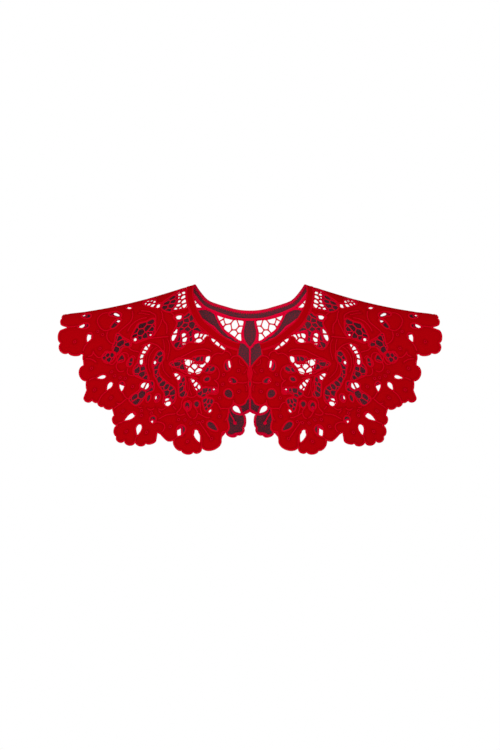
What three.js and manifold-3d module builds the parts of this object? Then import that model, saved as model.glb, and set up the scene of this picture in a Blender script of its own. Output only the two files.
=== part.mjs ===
// Cutwork lace cape collar, in the form it has when it is worn.
// Millimetres, +Z up. The origin is midway between the two neck points, where the neckline
// crosses the shoulders. The front faces -Y, and left and right are the wearer's.
import * as THREE from 'three';
import { mergeVertices } from 'three/addons/utils/BufferGeometryUtils.js';
import Module from 'manifold-3d';

const wasm = await Module();
wasm.setup();

// Driving dimensions
const neckHalfWidth = 70;
const laceThickness = 1.6;
const bandThickness = 2.4;
const hookThickness = 1.2;
const jointGap = 0.3;

// The neck band is widest at the centre back, and narrows along the cloth from there
const bandWidthFront = 8.6;
const bandWidthBack = 11.4;
const bandSwellStart = 35;
const bandSwellLength = 35;
const bandCorner = 68.6;
const backNeckDrop = 31.9;

// The shoulder line falls outward from the neck points: its slope there, how fast the slope
// eases, and how softly the two sides join across the neck.
const shoulderSlope = 0.386;
const shoulderEase = 0.00094;
const neckSoftness = 40;

// The lace bends over the shoulder line as a parabola. Its radius there is largest at the
// middle and smallest at the outer ends.
const frontBendRadius = 30;
const backBendRadius = 22;
const endBendRadius = 10;
const bendTaperStart = 60;
const bendTaperLength = 180;

// Colours
const laceRed = 0xa50009;
const bandRed = 0x9c0010;
const hookBlack = 0x241518;
const clothRoughness = 0.85;
const hookRoughness = 0.45;

// In every table out is measured from the centre and down from the neck points, as seen from
// the front, and swell is how far the edge stands beyond a straight line to the next row.
const frontHem = [
  { out: 15, down: 87.2, swell: 2.2 },
  { out: 0.25, down: 105, swell: 0 },
  { out: 0.25, down: 118, swell: 0 },
  { out: 1.6, down: 123.4, swell: 0 },
  { out: 0.25, down: 129, swell: 0 },
  { out: 0.25, down: 137, swell: 0 },
  { out: 1, down: 139.8, swell: 0.4 },
  { out: 4.4, down: 143.6, swell: 4.9 },
  { out: 19.8, down: 147.4, swell: 1 },
  { out: 25.2, down: 154, swell: 0.8 },
  { out: 27.6, down: 166.5, swell: 1 },
  { out: 26.2, down: 180, swell: 1 },
  { out: 29.4, down: 184.2, swell: 0 },
  { out: 34.6, down: 184.6, swell: 0 },
  { out: 35.6, down: 193, swell: 8 },
  { out: 60.8, down: 202.4, swell: 4.8 },
  { out: 71.2, down: 208.4, swell: 4 },
  { out: 85.2, down: 206.4, swell: 4.2 },
  { out: 95, down: 193.2, swell: 1.2 },
  { out: 104.2, down: 193.6, swell: 0 },
  { out: 111.4, down: 186.6, swell: 0 },
  { out: 116.4, down: 184.4, swell: 0 },
  { out: 117.2, down: 193.4, swell: 3 },
  { out: 130.6, down: 197.4, swell: 4.8 },
  { out: 143.6, down: 195.2, swell: 5.6 },
  { out: 157.2, down: 194.2, swell: 5 },
  { out: 166.8, down: 189, swell: 4.4 },
  { out: 164.8, down: 175.2, swell: 4.8 },
  { out: 169.6, down: 163, swell: 0 },
  { out: 172.4, down: 153.4, swell: 3 },
  { out: 183, down: 151.2, swell: 3 },
  { out: 190.2, down: 146.2, swell: 2 },
  { out: 197.4, down: 143.2, swell: 4.2 },
  { out: 207.8, down: 141, swell: 0 },
  { out: 203.8, down: 131, swell: 0.9 },
  { out: 204.2, down: 119.8, swell: 7.6 },
  { out: 207.8, down: 100.4, swell: 0 },
  { out: 208.2, down: 94.5, swell: 0.8 },
  { out: 208.2, down: 86.8, swell: 0 },
  { out: 211.2, down: 85.6, swell: 3.2 },
  { out: 227, down: 84.4, swell: 6.8 },
  { out: 236.4, down: 72.2, swell: 4.4 },
  { out: 234.6, down: 55.8, swell: 0 },
  { out: 226.8, down: 52.8, swell: 0 },
  { out: 234.4, down: 50.4, swell: 2.4 },
  { out: 234.6, down: 42.2, swell: 2 },
  { out: 231, down: 37.6, swell: 0 },
];
const backHem = [
  { out: 0, down: 157.5, swell: 0.6 },
  { out: 7.8, down: 161.6, swell: 2.4 },
  { out: 7.9, down: 178.2, swell: 3.5 },
  { out: 15.8, down: 187, swell: 4.7 },
  { out: 31, down: 184.6, swell: 0.4 },
  { out: 35.4, down: 190.6, swell: 3.4 },
  { out: 48, down: 194, swell: 3 },
  { out: 60.4, down: 189, swell: 0.6 },
  { out: 64.4, down: 183, swell: 0 },
  { out: 65, down: 178, swell: 0 },
  { out: 71.5, down: 178, swell: 4 },
  { out: 76.5, down: 190, swell: 3 },
  { out: 85.8, down: 187.4, swell: 0.2 },
  { out: 86, down: 176, swell: 4 },
  { out: 104, down: 179.5, swell: 4.2 },
  { out: 121, down: 171, swell: 3.6 },
  { out: 135, down: 166, swell: 3.6 },
  { out: 147, down: 155.5, swell: 3.6 },
  { out: 156.4, down: 141.5, swell: 0.6 },
  { out: 156.2, down: 125.6, swell: 1.4 },
  { out: 172.5, down: 117, swell: 3.2 },
  { out: 183, down: 106, swell: 3.4 },
  { out: 192, down: 92, swell: 3.4 },
  { out: 195.5, down: 76, swell: 1.6 },
  { out: 197.4, down: 62, swell: 0.4 },
  { out: 206, down: 59.4, swell: 1.2 },
  { out: 216, down: 56.4, swell: 2.4 },
  { out: 226, down: 47, swell: 1.6 },
  { out: 231, down: 37.6, swell: 0 },
];

// The inner edge of the neck band, from its front end to the shoulder and on to the centre back
const frontNeckline = [
  { out: 12, down: 72.6 },
  { out: 15, down: 72.2 },
  { out: 20.4, down: 70.2 },
  { out: 28.6, down: 66.8 },
  { out: 38.4, down: 60.4 },
  { out: 47.8, down: 52.4 },
  { out: 57.4, down: 43.9 },
  { out: 64.6, down: 32.2 },
  { out: 69, down: 20.8 },
  { out: 70.8, down: 10 },
  { out: 70.6, down: 4 },
];
const backNeckline = [
  { out: 66.4, down: 1.5 },
  { out: 64.4, down: 4.8 },
  { out: 60.6, down: 9.8 },
  { out: 56, down: 15.3 },
  { out: 50, down: 20.1 },
  { out: 39.6, down: 24 },
  { out: 29.4, down: 27 },
  { out: 20, down: 29.7 },
  { out: 10, down: 31.4 },
];

// Openings between the motifs: each row is one window, with its corners as [out, down]
const frontWindows = [
  {
    at: 'shoulder net',
    corners: [
      [80.8, 6.6], [80.6, 16], [79, 27], [84, 29.6], [92, 31], [101, 33.4], [109, 30], [110, 23],
      [96.5, 13], [91.6, 8.4], [87.4, 6.4],
    ],
  },
  {
    at: 'shoulder slot',
    corners: [[118, 18.6], [126, 18.2], [132.4, 20.8], [132.4, 24.4], [126, 26.6], [119, 27.6]],
  },
  { at: 'shoulder eye', corners: [[110.8, 23], [115.4, 23.8], [118.6, 27], [116.4, 28.8], [112.8, 27.8]] },
  {
    at: 'outer slot',
    corners: [
      [161.2, 36.6], [166.6, 33.4], [171.2, 34], [175.6, 34.6], [175, 38], [170.4, 38.6], [165.2, 40.6],
      [162, 39.8],
    ],
  },
  { at: 'outer leaf', corners: [[161.2, 43.4], [166.8, 43.4], [174.2, 52.4], [169, 53.2]] },
  {
    at: 'band net',
    corners: [
      [75.8, 34.6], [72.4, 42.8], [68, 50.4], [60.4, 59], [51.8, 63.6], [56.6, 66], [59.2, 72.4],
      [76.6, 71.4], [84.6, 78.4], [92.4, 79.2], [98.6, 66.4], [91.2, 49.4], [92, 44], [95.4, 39.8],
      [86.4, 36.4], [82, 38.6],
    ],
  },
  {
    at: 'band slot',
    corners: [
      [48.4, 67.2], [43.8, 70.2], [31.4, 80], [32.6, 82], [39, 78.6], [45, 74.2], [48.8, 69.6],
    ],
  },
  {
    at: 'flower net',
    corners: [
      [98.6, 98.8], [90, 95], [81.6, 93], [73, 93.4], [66, 98], [58.8, 96.6], [56.2, 90.2],
      [50.4, 88.6], [50.2, 93.8], [56, 101.6], [63, 110.6], [76.4, 110.6], [89, 104],
    ],
  },
  { at: 'flower slot', corners: [[71.4, 90.6], [56.6, 89], [58.8, 95.6], [65, 96.6]] },
  {
    at: 'long net, upper',
    corners: [
      [124.2, 73.2], [131.8, 76.6], [137.8, 88], [140.2, 97], [145, 104], [144.2, 111.6], [135, 116.2],
      [128.4, 118.8], [126.6, 117], [130.6, 105], [133.2, 91], [128.2, 82.6],
    ],
  },
  {
    at: 'long net, lower',
    corners: [
      [121, 121.4], [127.6, 120.4], [137, 123.6], [137.6, 131], [150.4, 141], [146.6, 147.4],
      [141.8, 150], [136, 146.2], [128, 134.4], [121, 131.6],
    ],
  },
  {
    at: 'stem net',
    corners: [
      [108.4, 83.6], [115.4, 83.6], [121.4, 98], [119.8, 106], [121, 113], [117.4, 118.8],
      [116.4, 125.4], [107.4, 134.8], [107.4, 142], [108, 147], [103, 151.4], [97.8, 148.2],
      [93.4, 143.4], [94, 130.2], [101, 124], [112.6, 113.8], [114.2, 102], [108, 92],
    ],
  },
  {
    at: 'outer net, upper',
    corners: [
      [166, 60.6], [158.6, 65.8], [150, 71], [149.4, 76.6], [158, 77], [164.4, 86], [168.6, 85.4],
      [171.6, 78], [168.6, 71],
    ],
  },
  {
    at: 'outer net, lower',
    corners: [[184.4, 90.4], [180.8, 85], [170.6, 84.2], [168.6, 88], [173.2, 95.2], [180, 96.4]],
  },
  {
    at: 'scroll net',
    corners: [
      [119.8, 42.4], [119, 56], [122.4, 64], [136.4, 69.8], [143.4, 71.8], [148, 66], [142.6, 54],
      [138.8, 48.4], [130, 46],
    ],
  },
  { at: 'petal gap, outer', corners: [[158.8, 87.6], [161.8, 88], [165.4, 95.8], [157.2, 94.2]] },
  {
    at: 'petal gap, inner',
    corners: [
      [146.4, 91.4], [149.4, 91], [152.4, 94.6], [153.6, 99.4], [150.2, 101.6], [147.2, 98.8],
    ],
  },
  {
    at: 'petal slit',
    corners: [[57.6, 106.4], [52.6, 101.4], [45.4, 101.2], [43.6, 105.2], [47.4, 109], [54.2, 109]],
  },
  { at: 'inner leaf gap', corners: [[75, 117], [69.2, 118.2], [60.8, 127.2], [67.4, 131.8], [70.8, 125]] },
  {
    at: 'inner net',
    corners: [
      [65.2, 132.2], [59.6, 128.8], [43.6, 128.4], [40.8, 132], [44.6, 135.4], [51, 135.2], [58, 140],
      [64.8, 137.4],
    ],
  },
  { at: 'petal net', corners: [[59, 142], [51.6, 141], [45.6, 145], [52.4, 155.8], [55.8, 156]] },
  {
    at: 'leaf net',
    corners: [
      [95.4, 109.8], [85, 112.6], [82, 118], [82.2, 131], [79.2, 136.2], [82, 139.8], [88.8, 138],
      [89.6, 121.6], [91.6, 117],
    ],
  },
];
const backWindows = [
  {
    at: 'net beside the leaf',
    corners: [
      [42.6, 37.8], [34, 41.2], [22, 43.8], [8, 44.8], [7.8, 50], [10.4, 60], [11.6, 70.2], [25, 62.6],
      [33.4, 56],
    ],
  },
  {
    at: 'neck corner',
    corners: [[71.2, 15.8], [67, 20.4], [63.4, 24.4], [59.8, 28], [66, 28.6], [71.8, 23.4]],
  },
  {
    at: 'shoulder net',
    corners: [
      [80.4, 7.8], [79.4, 16], [77.6, 27], [84, 29.6], [94, 31.6], [96, 29.6], [91, 21], [90.6, 9.6],
      [87, 7],
    ],
  },
  { at: 'shoulder slot', corners: [[117.6, 18.8], [126, 18.4], [131.6, 21], [131, 26.2], [118.2, 27.6]] },
  {
    at: 'side net, outer',
    corners: [[89.8, 54], [94, 55.6], [98.8, 63], [98.4, 69.4], [94.6, 71.6], [91.2, 66]],
  },
  {
    at: 'side net, inner',
    corners: [
      [78.8, 59.2], [84.6, 56.8], [86.4, 60], [85.4, 68], [84.4, 75.4], [77.6, 72.8], [77, 66],
    ],
  },
  {
    at: 'side slot',
    corners: [
      [49.8, 62.8], [55, 60.6], [62, 59.6], [70.2, 57.4], [71.2, 61], [70, 71.4], [66, 72.8],
      [59.6, 72.4], [56, 66.8],
    ],
  },
  {
    at: 'leaf slot',
    corners: [
      [48.8, 66.4], [43.6, 68.4], [30.4, 79.2], [32.4, 82.4], [39, 79], [45.4, 74.4], [49.2, 69.6],
    ],
  },
  {
    at: 'outer slot',
    corners: [[162.2, 37], [166.6, 34], [171, 34.6], [170.8, 37.8], [165.4, 40], [162.4, 39.4]],
  },
  {
    at: 'petal net',
    corners: [
      [82.6, 92.4], [73, 93], [64, 97.6], [57.8, 97.2], [56.4, 88.4], [49.6, 88], [49.6, 94],
      [54.4, 101], [61.4, 111], [76, 111.6], [79.2, 107],
    ],
  },
  { at: 'inner leaf gap', corners: [[75.4, 116.4], [69, 117.8], [60.6, 127.4], [67, 133], [71.2, 125]] },
  { at: 'leaf gap', corners: [[95.8, 109.4], [87.6, 111], [86.2, 115.4], [88.4, 121.6], [91.6, 121]] },
  { at: 'stem gap', corners: [[99.8, 139.8], [106.2, 139.8], [108.2, 147], [103.2, 151.8], [97.6, 148.4]] },
  {
    at: 'long gap, upper',
    corners: [
      [123.6, 72.6], [132.6, 76], [139.2, 89], [139.4, 99.6], [132.4, 99.8], [132, 90], [125.8, 80],
    ],
  },
  {
    at: 'long gap, lower',
    corners: [
      [128.4, 120.6], [137, 119.8], [139.2, 126], [133.4, 130], [129.8, 131.2], [124.2, 127],
      [125.4, 122],
    ],
  },
  {
    at: 'centre slot',
    corners: [[25.2, 94.6], [27.4, 94.8], [26.8, 101.8], [25.2, 103.6], [23.4, 103.2], [24.2, 98]],
  },
];

// Eyes: each row is one small drop-shaped hole. Turn is the way its narrow end points, in
// degrees down from outward, and point is how sharp that end is, from 0 to 1.
const frontEyes = [
  { out: 204.4, down: 38.7, long: 11.4, wide: 6, turn: 4, point: 0.2 },
  { out: 208.3, down: 51.3, long: 14.5, wide: 6.8, turn: 10, point: 0.7 },
  { out: 201.2, down: 65.8, long: 12, wide: 7.8, turn: 68, point: 0.7 },
  { out: 150.8, down: 28.6, long: 7.2, wide: 3.8, turn: 0, point: 0 },
  { out: 185.9, down: 115, long: 12.4, wide: 6, turn: 10, point: 0.8 },
  { out: 175.8, down: 126.4, long: 12.2, wide: 7.6, turn: 58, point: 0.8 },
  { out: 160.2, down: 127, long: 12.6, wide: 7.8, turn: 90, point: 0.7 },
  { out: 150.6, down: 165, long: 17, wide: 8.2, turn: 33, point: 0.8 },
  { out: 139.2, down: 180.8, long: 15, wide: 8.8, turn: 78, point: 0.8 },
  { out: 121.4, down: 168, long: 8.6, wide: 7.8, turn: 90, point: 0.2 },
  { out: 86.8, down: 182.2, long: 14.4, wide: 11.4, turn: 62, point: 0.5 },
  { out: 65.9, down: 188.5, long: 17.2, wide: 8.8, turn: 110, point: 0.6 },
  { out: 46.8, down: 176.6, long: 16.4, wide: 8.8, turn: 140, point: 0.6 },
  { out: 126.8, down: 141.2, long: 9.6, wide: 5, turn: 75, point: 0.3 },
  { out: 115.8, down: 141.2, long: 10, wide: 7.2, turn: 75, point: 0.3 },
  { out: 78.6, down: 151.4, long: 11.2, wide: 7.8, turn: 104, point: 0.4 },
  { out: 66.6, down: 148.8, long: 8, wide: 7.2, turn: 100, point: 0.3 },
  { out: 26.6, down: 135.8, long: 12, wide: 10.6, turn: 128, point: 0.3 },
  { out: 21, down: 119.5, long: 10, wide: 7.2, turn: 155, point: 0.4 },
  { out: 27.6, down: 100.2, long: 13.6, wide: 8.6, turn: 84, point: 0.1 },
  { out: 53.8, down: 117.6, long: 7.8, wide: 6.2, turn: 20, point: 0.3 },
];
const backEyes = [
  { out: 16, down: 156.1, long: 14.2, wide: 8.6, turn: 137, point: 0.7 },
];
const eyeSides = 8;
const eyeTaper = 0.55;

// The hidden hook and eye behind the place where the two fronts meet, as a plate whose corners
// are cut off
const hook = { down: 112, wide: 18, high: 7, corner: 2 };

// Where the flat lace is creased to follow its bends: from the shoulder line along the cloth,
// and across from the centre
const creasesAlong = [4, 10, 18, 28, 42, 60, 84, 112, 144, 180, 216];
const creaseSpacingAcross = 20;
const creaseReachAcross = 240;
const chartReach = 320;

function smoothStep(value) {
  const t = Math.min(1, Math.max(0, value));
  return t * t * (3 - 2 * t);
}

// How far the shoulder line lies below the neck points
function shoulderDrop(out) {
  const neck = Math.hypot(neckHalfWidth, neckSoftness);
  const reach = Math.hypot(out, neckSoftness) - neck;
  return shoulderSlope * reach - shoulderEase * reach * reach;
}

function bendRadius(out, middleRadius) {
  const taper = smoothStep((Math.abs(out) - bendTaperStart) / bendTaperLength);
  return middleRadius + (endBendRadius - middleRadius) * taper;
}

// Length of the parabola depth = y * y / (2 * radius), from its top to y, and its inverse by
// Newton's method
function bendLength(y, radius) {
  const steepness = y / radius;
  return (radius / 2) * (steepness * Math.hypot(1, steepness) + Math.asinh(steepness));
}

const newtonSteps = 20;
function bendReach(length, radius) {
  let y = Math.min(length, Math.sqrt(2 * radius * length));
  for (let step = 0; step < newtonSteps; step += 1) {
    y -= (bendLength(y, radius) - length) / Math.hypot(1, y / radius);
  }
  return y;
}

// The flat lace: x is across, and y is the length along the cloth from the shoulder line,
// less than zero on the front
function flatPoint(row, side) {
  const middleRadius = side < 0 ? frontBendRadius : backBendRadius;
  const radius = bendRadius(row.out, middleRadius);
  const depth = Math.max(0, row.down - shoulderDrop(row.out));
  return new THREE.Vector2(row.out, side * bendLength(Math.sqrt(2 * radius * depth), radius));
}

function wornPoint(across, along) {
  const middleRadius = along < 0 ? frontBendRadius : backBendRadius;
  const radius = bendRadius(across, middleRadius);
  const y = bendReach(Math.abs(along), radius);
  const z = -shoulderDrop(across) - (y * y) / (2 * radius);
  return new THREE.Vector3(across, Math.sign(along) * y, z);
}

const probe = 0.05;
function wornNormal(across, along) {
  const dAcross = wornPoint(across + probe, along).sub(wornPoint(across - probe, along));
  const dAlong = wornPoint(across, along + probe).sub(wornPoint(across, along - probe));
  return dAcross.cross(dAlong).normalize();
}

// An edge through the rows of a hem table, with each swell as a cubic curve
const swellShoulder = 0.06;
const swellFullness = 4 / 3;
const leastSwell = 0.3;
const broadSwell = 3;
const swellSides = 3;
const broadSwellSides = 4;

function swellCurve(start, end, swell) {
  const chord = end.clone().sub(start);
  const outward = new THREE.Vector2(-chord.y, chord.x).normalize().multiplyScalar(swell * swellFullness);
  const leave = start.clone().addScaledVector(chord, swellShoulder).add(outward);
  const arrive = end.clone().addScaledVector(chord, -swellShoulder).add(outward);
  return new THREE.CubicBezierCurve(start, leave, arrive, end);
}

function hemEdge(rows) {
  const corners = rows.map((row) => new THREE.Vector2(row.out, row.down));
  const points = corners.slice(0, -1).flatMap((start, i) => {
    const { swell } = rows[i];
    if (swell < leastSwell) return [start];
    const sides = swell > broadSwell ? broadSwellSides : swellSides;
    return swellCurve(start, corners[i + 1], swell).getPoints(sides).slice(0, -1);
  });
  return [...points, corners[corners.length - 1]].map((p) => ({ out: p.x, down: p.y }));
}

function eyeOutline({ out, down, long, wide, turn, point }) {
  const centre = new THREE.Vector2(out, down);
  const angle = THREE.MathUtils.degToRad(turn);
  return Array.from({ length: eyeSides }, (_, i) => {
    const t = (2 * Math.PI * i) / eyeSides;
    const narrow = 1 - point * eyeTaper * (1 + Math.cos(t)) * (0.5 + 0.5 * Math.cos(t));
    const p = new THREE.Vector2((Math.cos(t) * long) / 2, ((Math.sin(t) * wide) / 2) * narrow);
    p.rotateAround(new THREE.Vector2(), angle).add(centre);
    return { out: p.x, down: p.y };
  });
}

function mirrored(points) {
  return points.map((p) => new THREE.Vector2(-p.x, p.y)).reverse();
}

// For each point of an open edge, the way to its right as a unit vector
function waysRight(points) {
  return points.map((_, i) => {
    const before = points[Math.max(0, i - 1)];
    const after = points[Math.min(points.length - 1, i + 1)];
    const travel = after.clone().sub(before).normalize();
    return new THREE.Vector2(travel.y, -travel.x);
  });
}

function solidOf(geometry) {
  geometry.deleteAttribute('normal');
  geometry.deleteAttribute('uv');
  const merged = mergeVertices(geometry);
  return new wasm.Manifold(new wasm.Mesh({
    numProp: 3,
    vertProperties: new Float32Array(merged.attributes.position.array),
    triVerts: new Uint32Array(merged.index.array),
  }));
}

// The flat lace is worked out as a slab between two levels, and what cuts it stands out past both
const slabTop = 1;
const cutterReach = 1;

function slab(points) {
  return solidOf(new THREE.ExtrudeGeometry(new THREE.Shape(points), { depth: slabTop, bevelEnabled: false }));
}

function cutter(points) {
  const depth = slabTop + 2 * cutterReach;
  const geometry = new THREE.ExtrudeGeometry(new THREE.Shape(points), { depth, bevelEnabled: false });
  geometry.translate(0, 0, -cutterReach);
  return solidOf(geometry);
}

function cell(left, right, near, far) {
  const geometry = new THREE.BoxGeometry(right - left, far - near, 2 * (slabTop + cutterReach));
  geometry.translate((left + right) / 2, (near + far) / 2, 0);
  return solidOf(geometry);
}

// The creased flat lace as triangles: the solid is cut into cells along the creases, and the
// top face of every cell is kept
function creasedFaces(solid) {
  const across = [];
  for (let x = -creaseReachAcross; x <= creaseReachAcross; x += creaseSpacingAcross) across.push(x);
  const along = [...creasesAlong.map((s) => -s).reverse(), ...creasesAlong];
  const cuts = (places) => [-chartReach, ...places, chartReach];
  const faces = [];
  const columns = cuts(across);
  const rows = cuts(along);
  for (let i = 0; i + 1 < columns.length; i += 1) {
    const strip = solid.intersect(cell(columns[i], columns[i + 1], -chartReach, chartReach));
    if (strip.isEmpty()) continue;
    for (let j = 0; j + 1 < rows.length; j += 1) {
      const piece = strip.intersect(cell(columns[i], columns[i + 1], rows[j], rows[j + 1]));
      if (!piece.isEmpty()) faces.push(...topTriangles(piece.getMesh()));
    }
  }
  return faces;
}

function topTriangles(mesh) {
  const { numProp, vertProperties, triVerts } = mesh;
  const triangles = [];
  const isTop = (vertex) => vertProperties[vertex * numProp + 2] > slabTop / 2;
  for (let t = 0; t < triVerts.length; t += 3) {
    const corners = [triVerts[t], triVerts[t + 1], triVerts[t + 2]];
    if (corners.every(isTop)) {
      triangles.push(corners.map((v) => [vertProperties[v * numProp], vertProperties[v * numProp + 1]]));
    }
  }
  return triangles;
}

// Corners of neighbouring cells closer than this are one corner
const weldDistance = 0.01;

function liesBetween([x, y], [x0, y0], [x1, y1]) {
  const length = Math.hypot(x1 - x0, y1 - y0);
  const ahead = ((x - x0) * (x1 - x0) + (y - y0) * (y1 - y0)) / length;
  const aside = ((x - x0) * (y1 - y0) - (y - y0) * (x1 - x0)) / length;
  return Math.abs(aside) < weldDistance && ahead > 0 && ahead < length;
}

// Splits a triangle wherever a neighbouring cell has a corner on one of its edges. A triangle
// that is as thin as a line is left out, because its neighbours meet along it.
function splitAtCorners([a, b, c], flat) {
  for (const [from, to, other] of [[a, b, c], [b, c, a], [c, a, b]]) {
    if (liesBetween(flat[other], flat[from], flat[to])) return [];
    const isBetween = (p, v) => v !== from && v !== to && v !== other && liesBetween(p, flat[from], flat[to]);
    const between = flat.findIndex(isBetween);
    if (between >= 0) {
      const halves = [[from, between, other], [between, to, other]];
      return halves.flatMap((half) => splitAtCorners(half, flat));
    }
  }
  return [[a, b, c]];
}

// The triangles with numbered corners, where corners in the same place are one
function welded(triangles) {
  const bins = new Map();
  const flat = [];
  const corner = ([x, y]) => {
    const column = Math.round(x / weldDistance);
    const row = Math.round(y / weldDistance);
    for (const i of [column - 1, column, column + 1]) {
      for (const j of [row - 1, row, row + 1]) {
        if (bins.has(`${i},${j}`)) return bins.get(`${i},${j}`);
      }
    }
    bins.set(`${column},${row}`, flat.length);
    flat.push([x, y]);
    return flat.length - 1;
  };
  const faces = triangles.map((triangle) => triangle.map(corner))
    .filter(([a, b, c]) => a !== b && b !== c && c !== a);
  return { flat, faces: faces.flatMap((face) => splitAtCorners(face, flat)) };
}

// Bends flat triangles into the worn form and gives them a thickness, lifted off the middle
// surface of the lace by a distance that is more than zero outward
function wornGeometry(triangles, thickness, lift = 0) {
  const { flat, faces } = welded(triangles);
  const positions = [];
  for (const side of [lift + thickness / 2, lift - thickness / 2]) {
    for (const [across, along] of flat) {
      const p = wornPoint(across, along).addScaledVector(wornNormal(across, along), side);
      positions.push(p.x, p.y, p.z);
    }
  }
  const below = flat.length;
  const index = [];
  const edges = new Set();
  for (const [a, b, c] of faces) {
    index.push(a, b, c, c + below, b + below, a + below);
    for (const [from, to] of [[a, b], [b, c], [c, a]]) edges.add(`${from},${to}`);
  }
  for (const [a, b, c] of faces) {
    for (const [from, to] of [[a, b], [b, c], [c, a]]) {
      if (!edges.has(`${to},${from}`)) {
        index.push(from, from + below, to + below, from, to + below, to);
      }
    }
  }
  const geometry = new THREE.BufferGeometry();
  geometry.setAttribute('position', new THREE.Float32BufferAttribute(positions, 3));
  geometry.setIndex(index);
  return geometry;
}

function piece(name, triangles, thickness, color, roughness, lift) {
  const material = new THREE.MeshStandardMaterial({ color, roughness, metalness: 0 });
  const mesh = new THREE.Mesh(wornGeometry(triangles, thickness, lift), material);
  mesh.name = name;
  return mesh;
}

// Neck band, as one flat strip from its front right end round the back to its front left end
const frontInner = frontNeckline.map((row) => flatPoint(row, -1));
const backInner = backNeckline.map((row) => flatPoint(row, 1));
const centreInner = flatPoint({ out: 0, down: backNeckDrop }, 1);
const halfInner = [...frontInner, new THREE.Vector2(bandCorner, 0), ...backInner];
const wholeInner = [...halfInner, centreInner, ...mirrored(halfInner)];
function bandWidthAt(p) {
  const swelling = THREE.MathUtils.clamp((p.y - bandSwellStart) / bandSwellLength, 0, 1) ** 2;
  return THREE.MathUtils.lerp(bandWidthFront, bandWidthBack, swelling);
}
function bandEdge(extra) {
  const ways = waysRight(wholeInner);
  return wholeInner.map((p, i) => p.clone().addScaledVector(ways[i], bandWidthAt(p) + extra));
}
const bandSolid = slab([...wholeInner, ...bandEdge(0).reverse()]);
// What the neck, the band and its joint take out of the panels
const neckCutter = cutter(bandEdge(jointGap));

function openingsIn(windows, eyes, side) {
  const outlines = [
    ...windows.map(({ corners }) => corners.map(([out, down]) => ({ out, down }))),
    ...eyes.map(eyeOutline),
  ];
  return outlines.map((outline) => outline.map((row) => flatPoint(row, side)));
}

function cutOut(solid, outlines) {
  return outlines.reduce((rest, outline) => rest.subtract(cutter(outline)), solid);
}

// One front panel, on the side where x is more than zero
const frontEdge = hemEdge(frontHem).map((row) => flatPoint(row, -1));
const frontStart = flatPoint(frontNeckline[0], -1);
const shoulderEnd = frontHem[frontHem.length - 1].out;
const frontBlank = slab([
  frontStart,
  ...frontEdge,
  new THREE.Vector2(shoulderEnd, -jointGap / 2),
  new THREE.Vector2(neckHalfWidth / 2, -jointGap / 2),
]);
const frontSolid = cutOut(frontBlank.subtract(neckCutter), openingsIn(frontWindows, frontEyes, -1));

// The back panel, across both sides
const backEdge = hemEdge(backHem).map((row) => flatPoint(row, 1)).reverse();
const backBlank = slab([
  new THREE.Vector2(-shoulderEnd, jointGap / 2),
  new THREE.Vector2(shoulderEnd, jointGap / 2),
  ...backEdge,
  ...mirrored(backEdge).slice(1),
]);
const backOpenings = openingsIn(backWindows, backEyes, 1);
const backSolid = cutOut(backBlank.subtract(neckCutter), [...backOpenings, ...backOpenings.map(mirrored)]);

// Hook and eye, lying against the inner face of both fronts
const hookCentre = flatPoint({ out: 0, down: hook.down }, -1);
const hookX = hook.wide / 2;
const hookY = hook.high / 2;
const hookOutline = [
  [-hookX, hook.corner - hookY], [hook.corner - hookX, -hookY],
  [hookX - hook.corner, -hookY], [hookX, hook.corner - hookY],
  [hookX, hookY - hook.corner], [hookX - hook.corner, hookY],
  [hook.corner - hookX, hookY], [-hookX, hookY - hook.corner],
];
const hookSolid = slab(hookOutline.map(([x, y]) => new THREE.Vector2(x, y).add(hookCentre)));
const hookLift = -(laceThickness / 2 + jointGap + hookThickness / 2);

const mirrorTriangle = ([a, b, c]) => [c, b, a].map(([x, y]) => [-x, y]);
const frontTriangles = creasedFaces(frontSolid);

const collar = new THREE.Group();
collar.add(
  piece('front_panel_left', frontTriangles, laceThickness, laceRed, clothRoughness),
  piece('front_panel_right', frontTriangles.map(mirrorTriangle), laceThickness, laceRed, clothRoughness),
  piece('back_panel', creasedFaces(backSolid), laceThickness, laceRed, clothRoughness),
  piece('neck_band', creasedFaces(bandSolid), bandThickness, bandRed, clothRoughness),
  piece('front_hook', creasedFaces(hookSolid), hookThickness, hookBlack, hookRoughness, hookLift),
);

export default collar;
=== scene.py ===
import math
import random
from collections import defaultdict, namedtuple

import bpy
import numpy as np
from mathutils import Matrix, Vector
from mathutils.geometry import delaunay_2d_cdt
from mathutils.kdtree import KDTree


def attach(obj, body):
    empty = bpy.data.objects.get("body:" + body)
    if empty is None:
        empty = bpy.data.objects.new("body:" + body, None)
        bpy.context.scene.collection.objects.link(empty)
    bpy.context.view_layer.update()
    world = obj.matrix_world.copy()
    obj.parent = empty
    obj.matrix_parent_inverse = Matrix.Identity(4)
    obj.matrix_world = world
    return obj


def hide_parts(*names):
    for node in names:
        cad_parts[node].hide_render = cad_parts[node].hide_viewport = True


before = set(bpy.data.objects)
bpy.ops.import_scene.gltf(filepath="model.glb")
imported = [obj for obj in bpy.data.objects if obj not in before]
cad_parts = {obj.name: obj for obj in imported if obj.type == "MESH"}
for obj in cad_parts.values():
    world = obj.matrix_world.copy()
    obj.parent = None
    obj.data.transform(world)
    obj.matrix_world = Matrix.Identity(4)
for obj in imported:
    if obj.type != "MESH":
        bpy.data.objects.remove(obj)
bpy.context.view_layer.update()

# Every size is in millimetres until it becomes a mesh, apart from the camera, the light and the floor
MM = 0.001
FRONT = -1
BACK = 1

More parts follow.
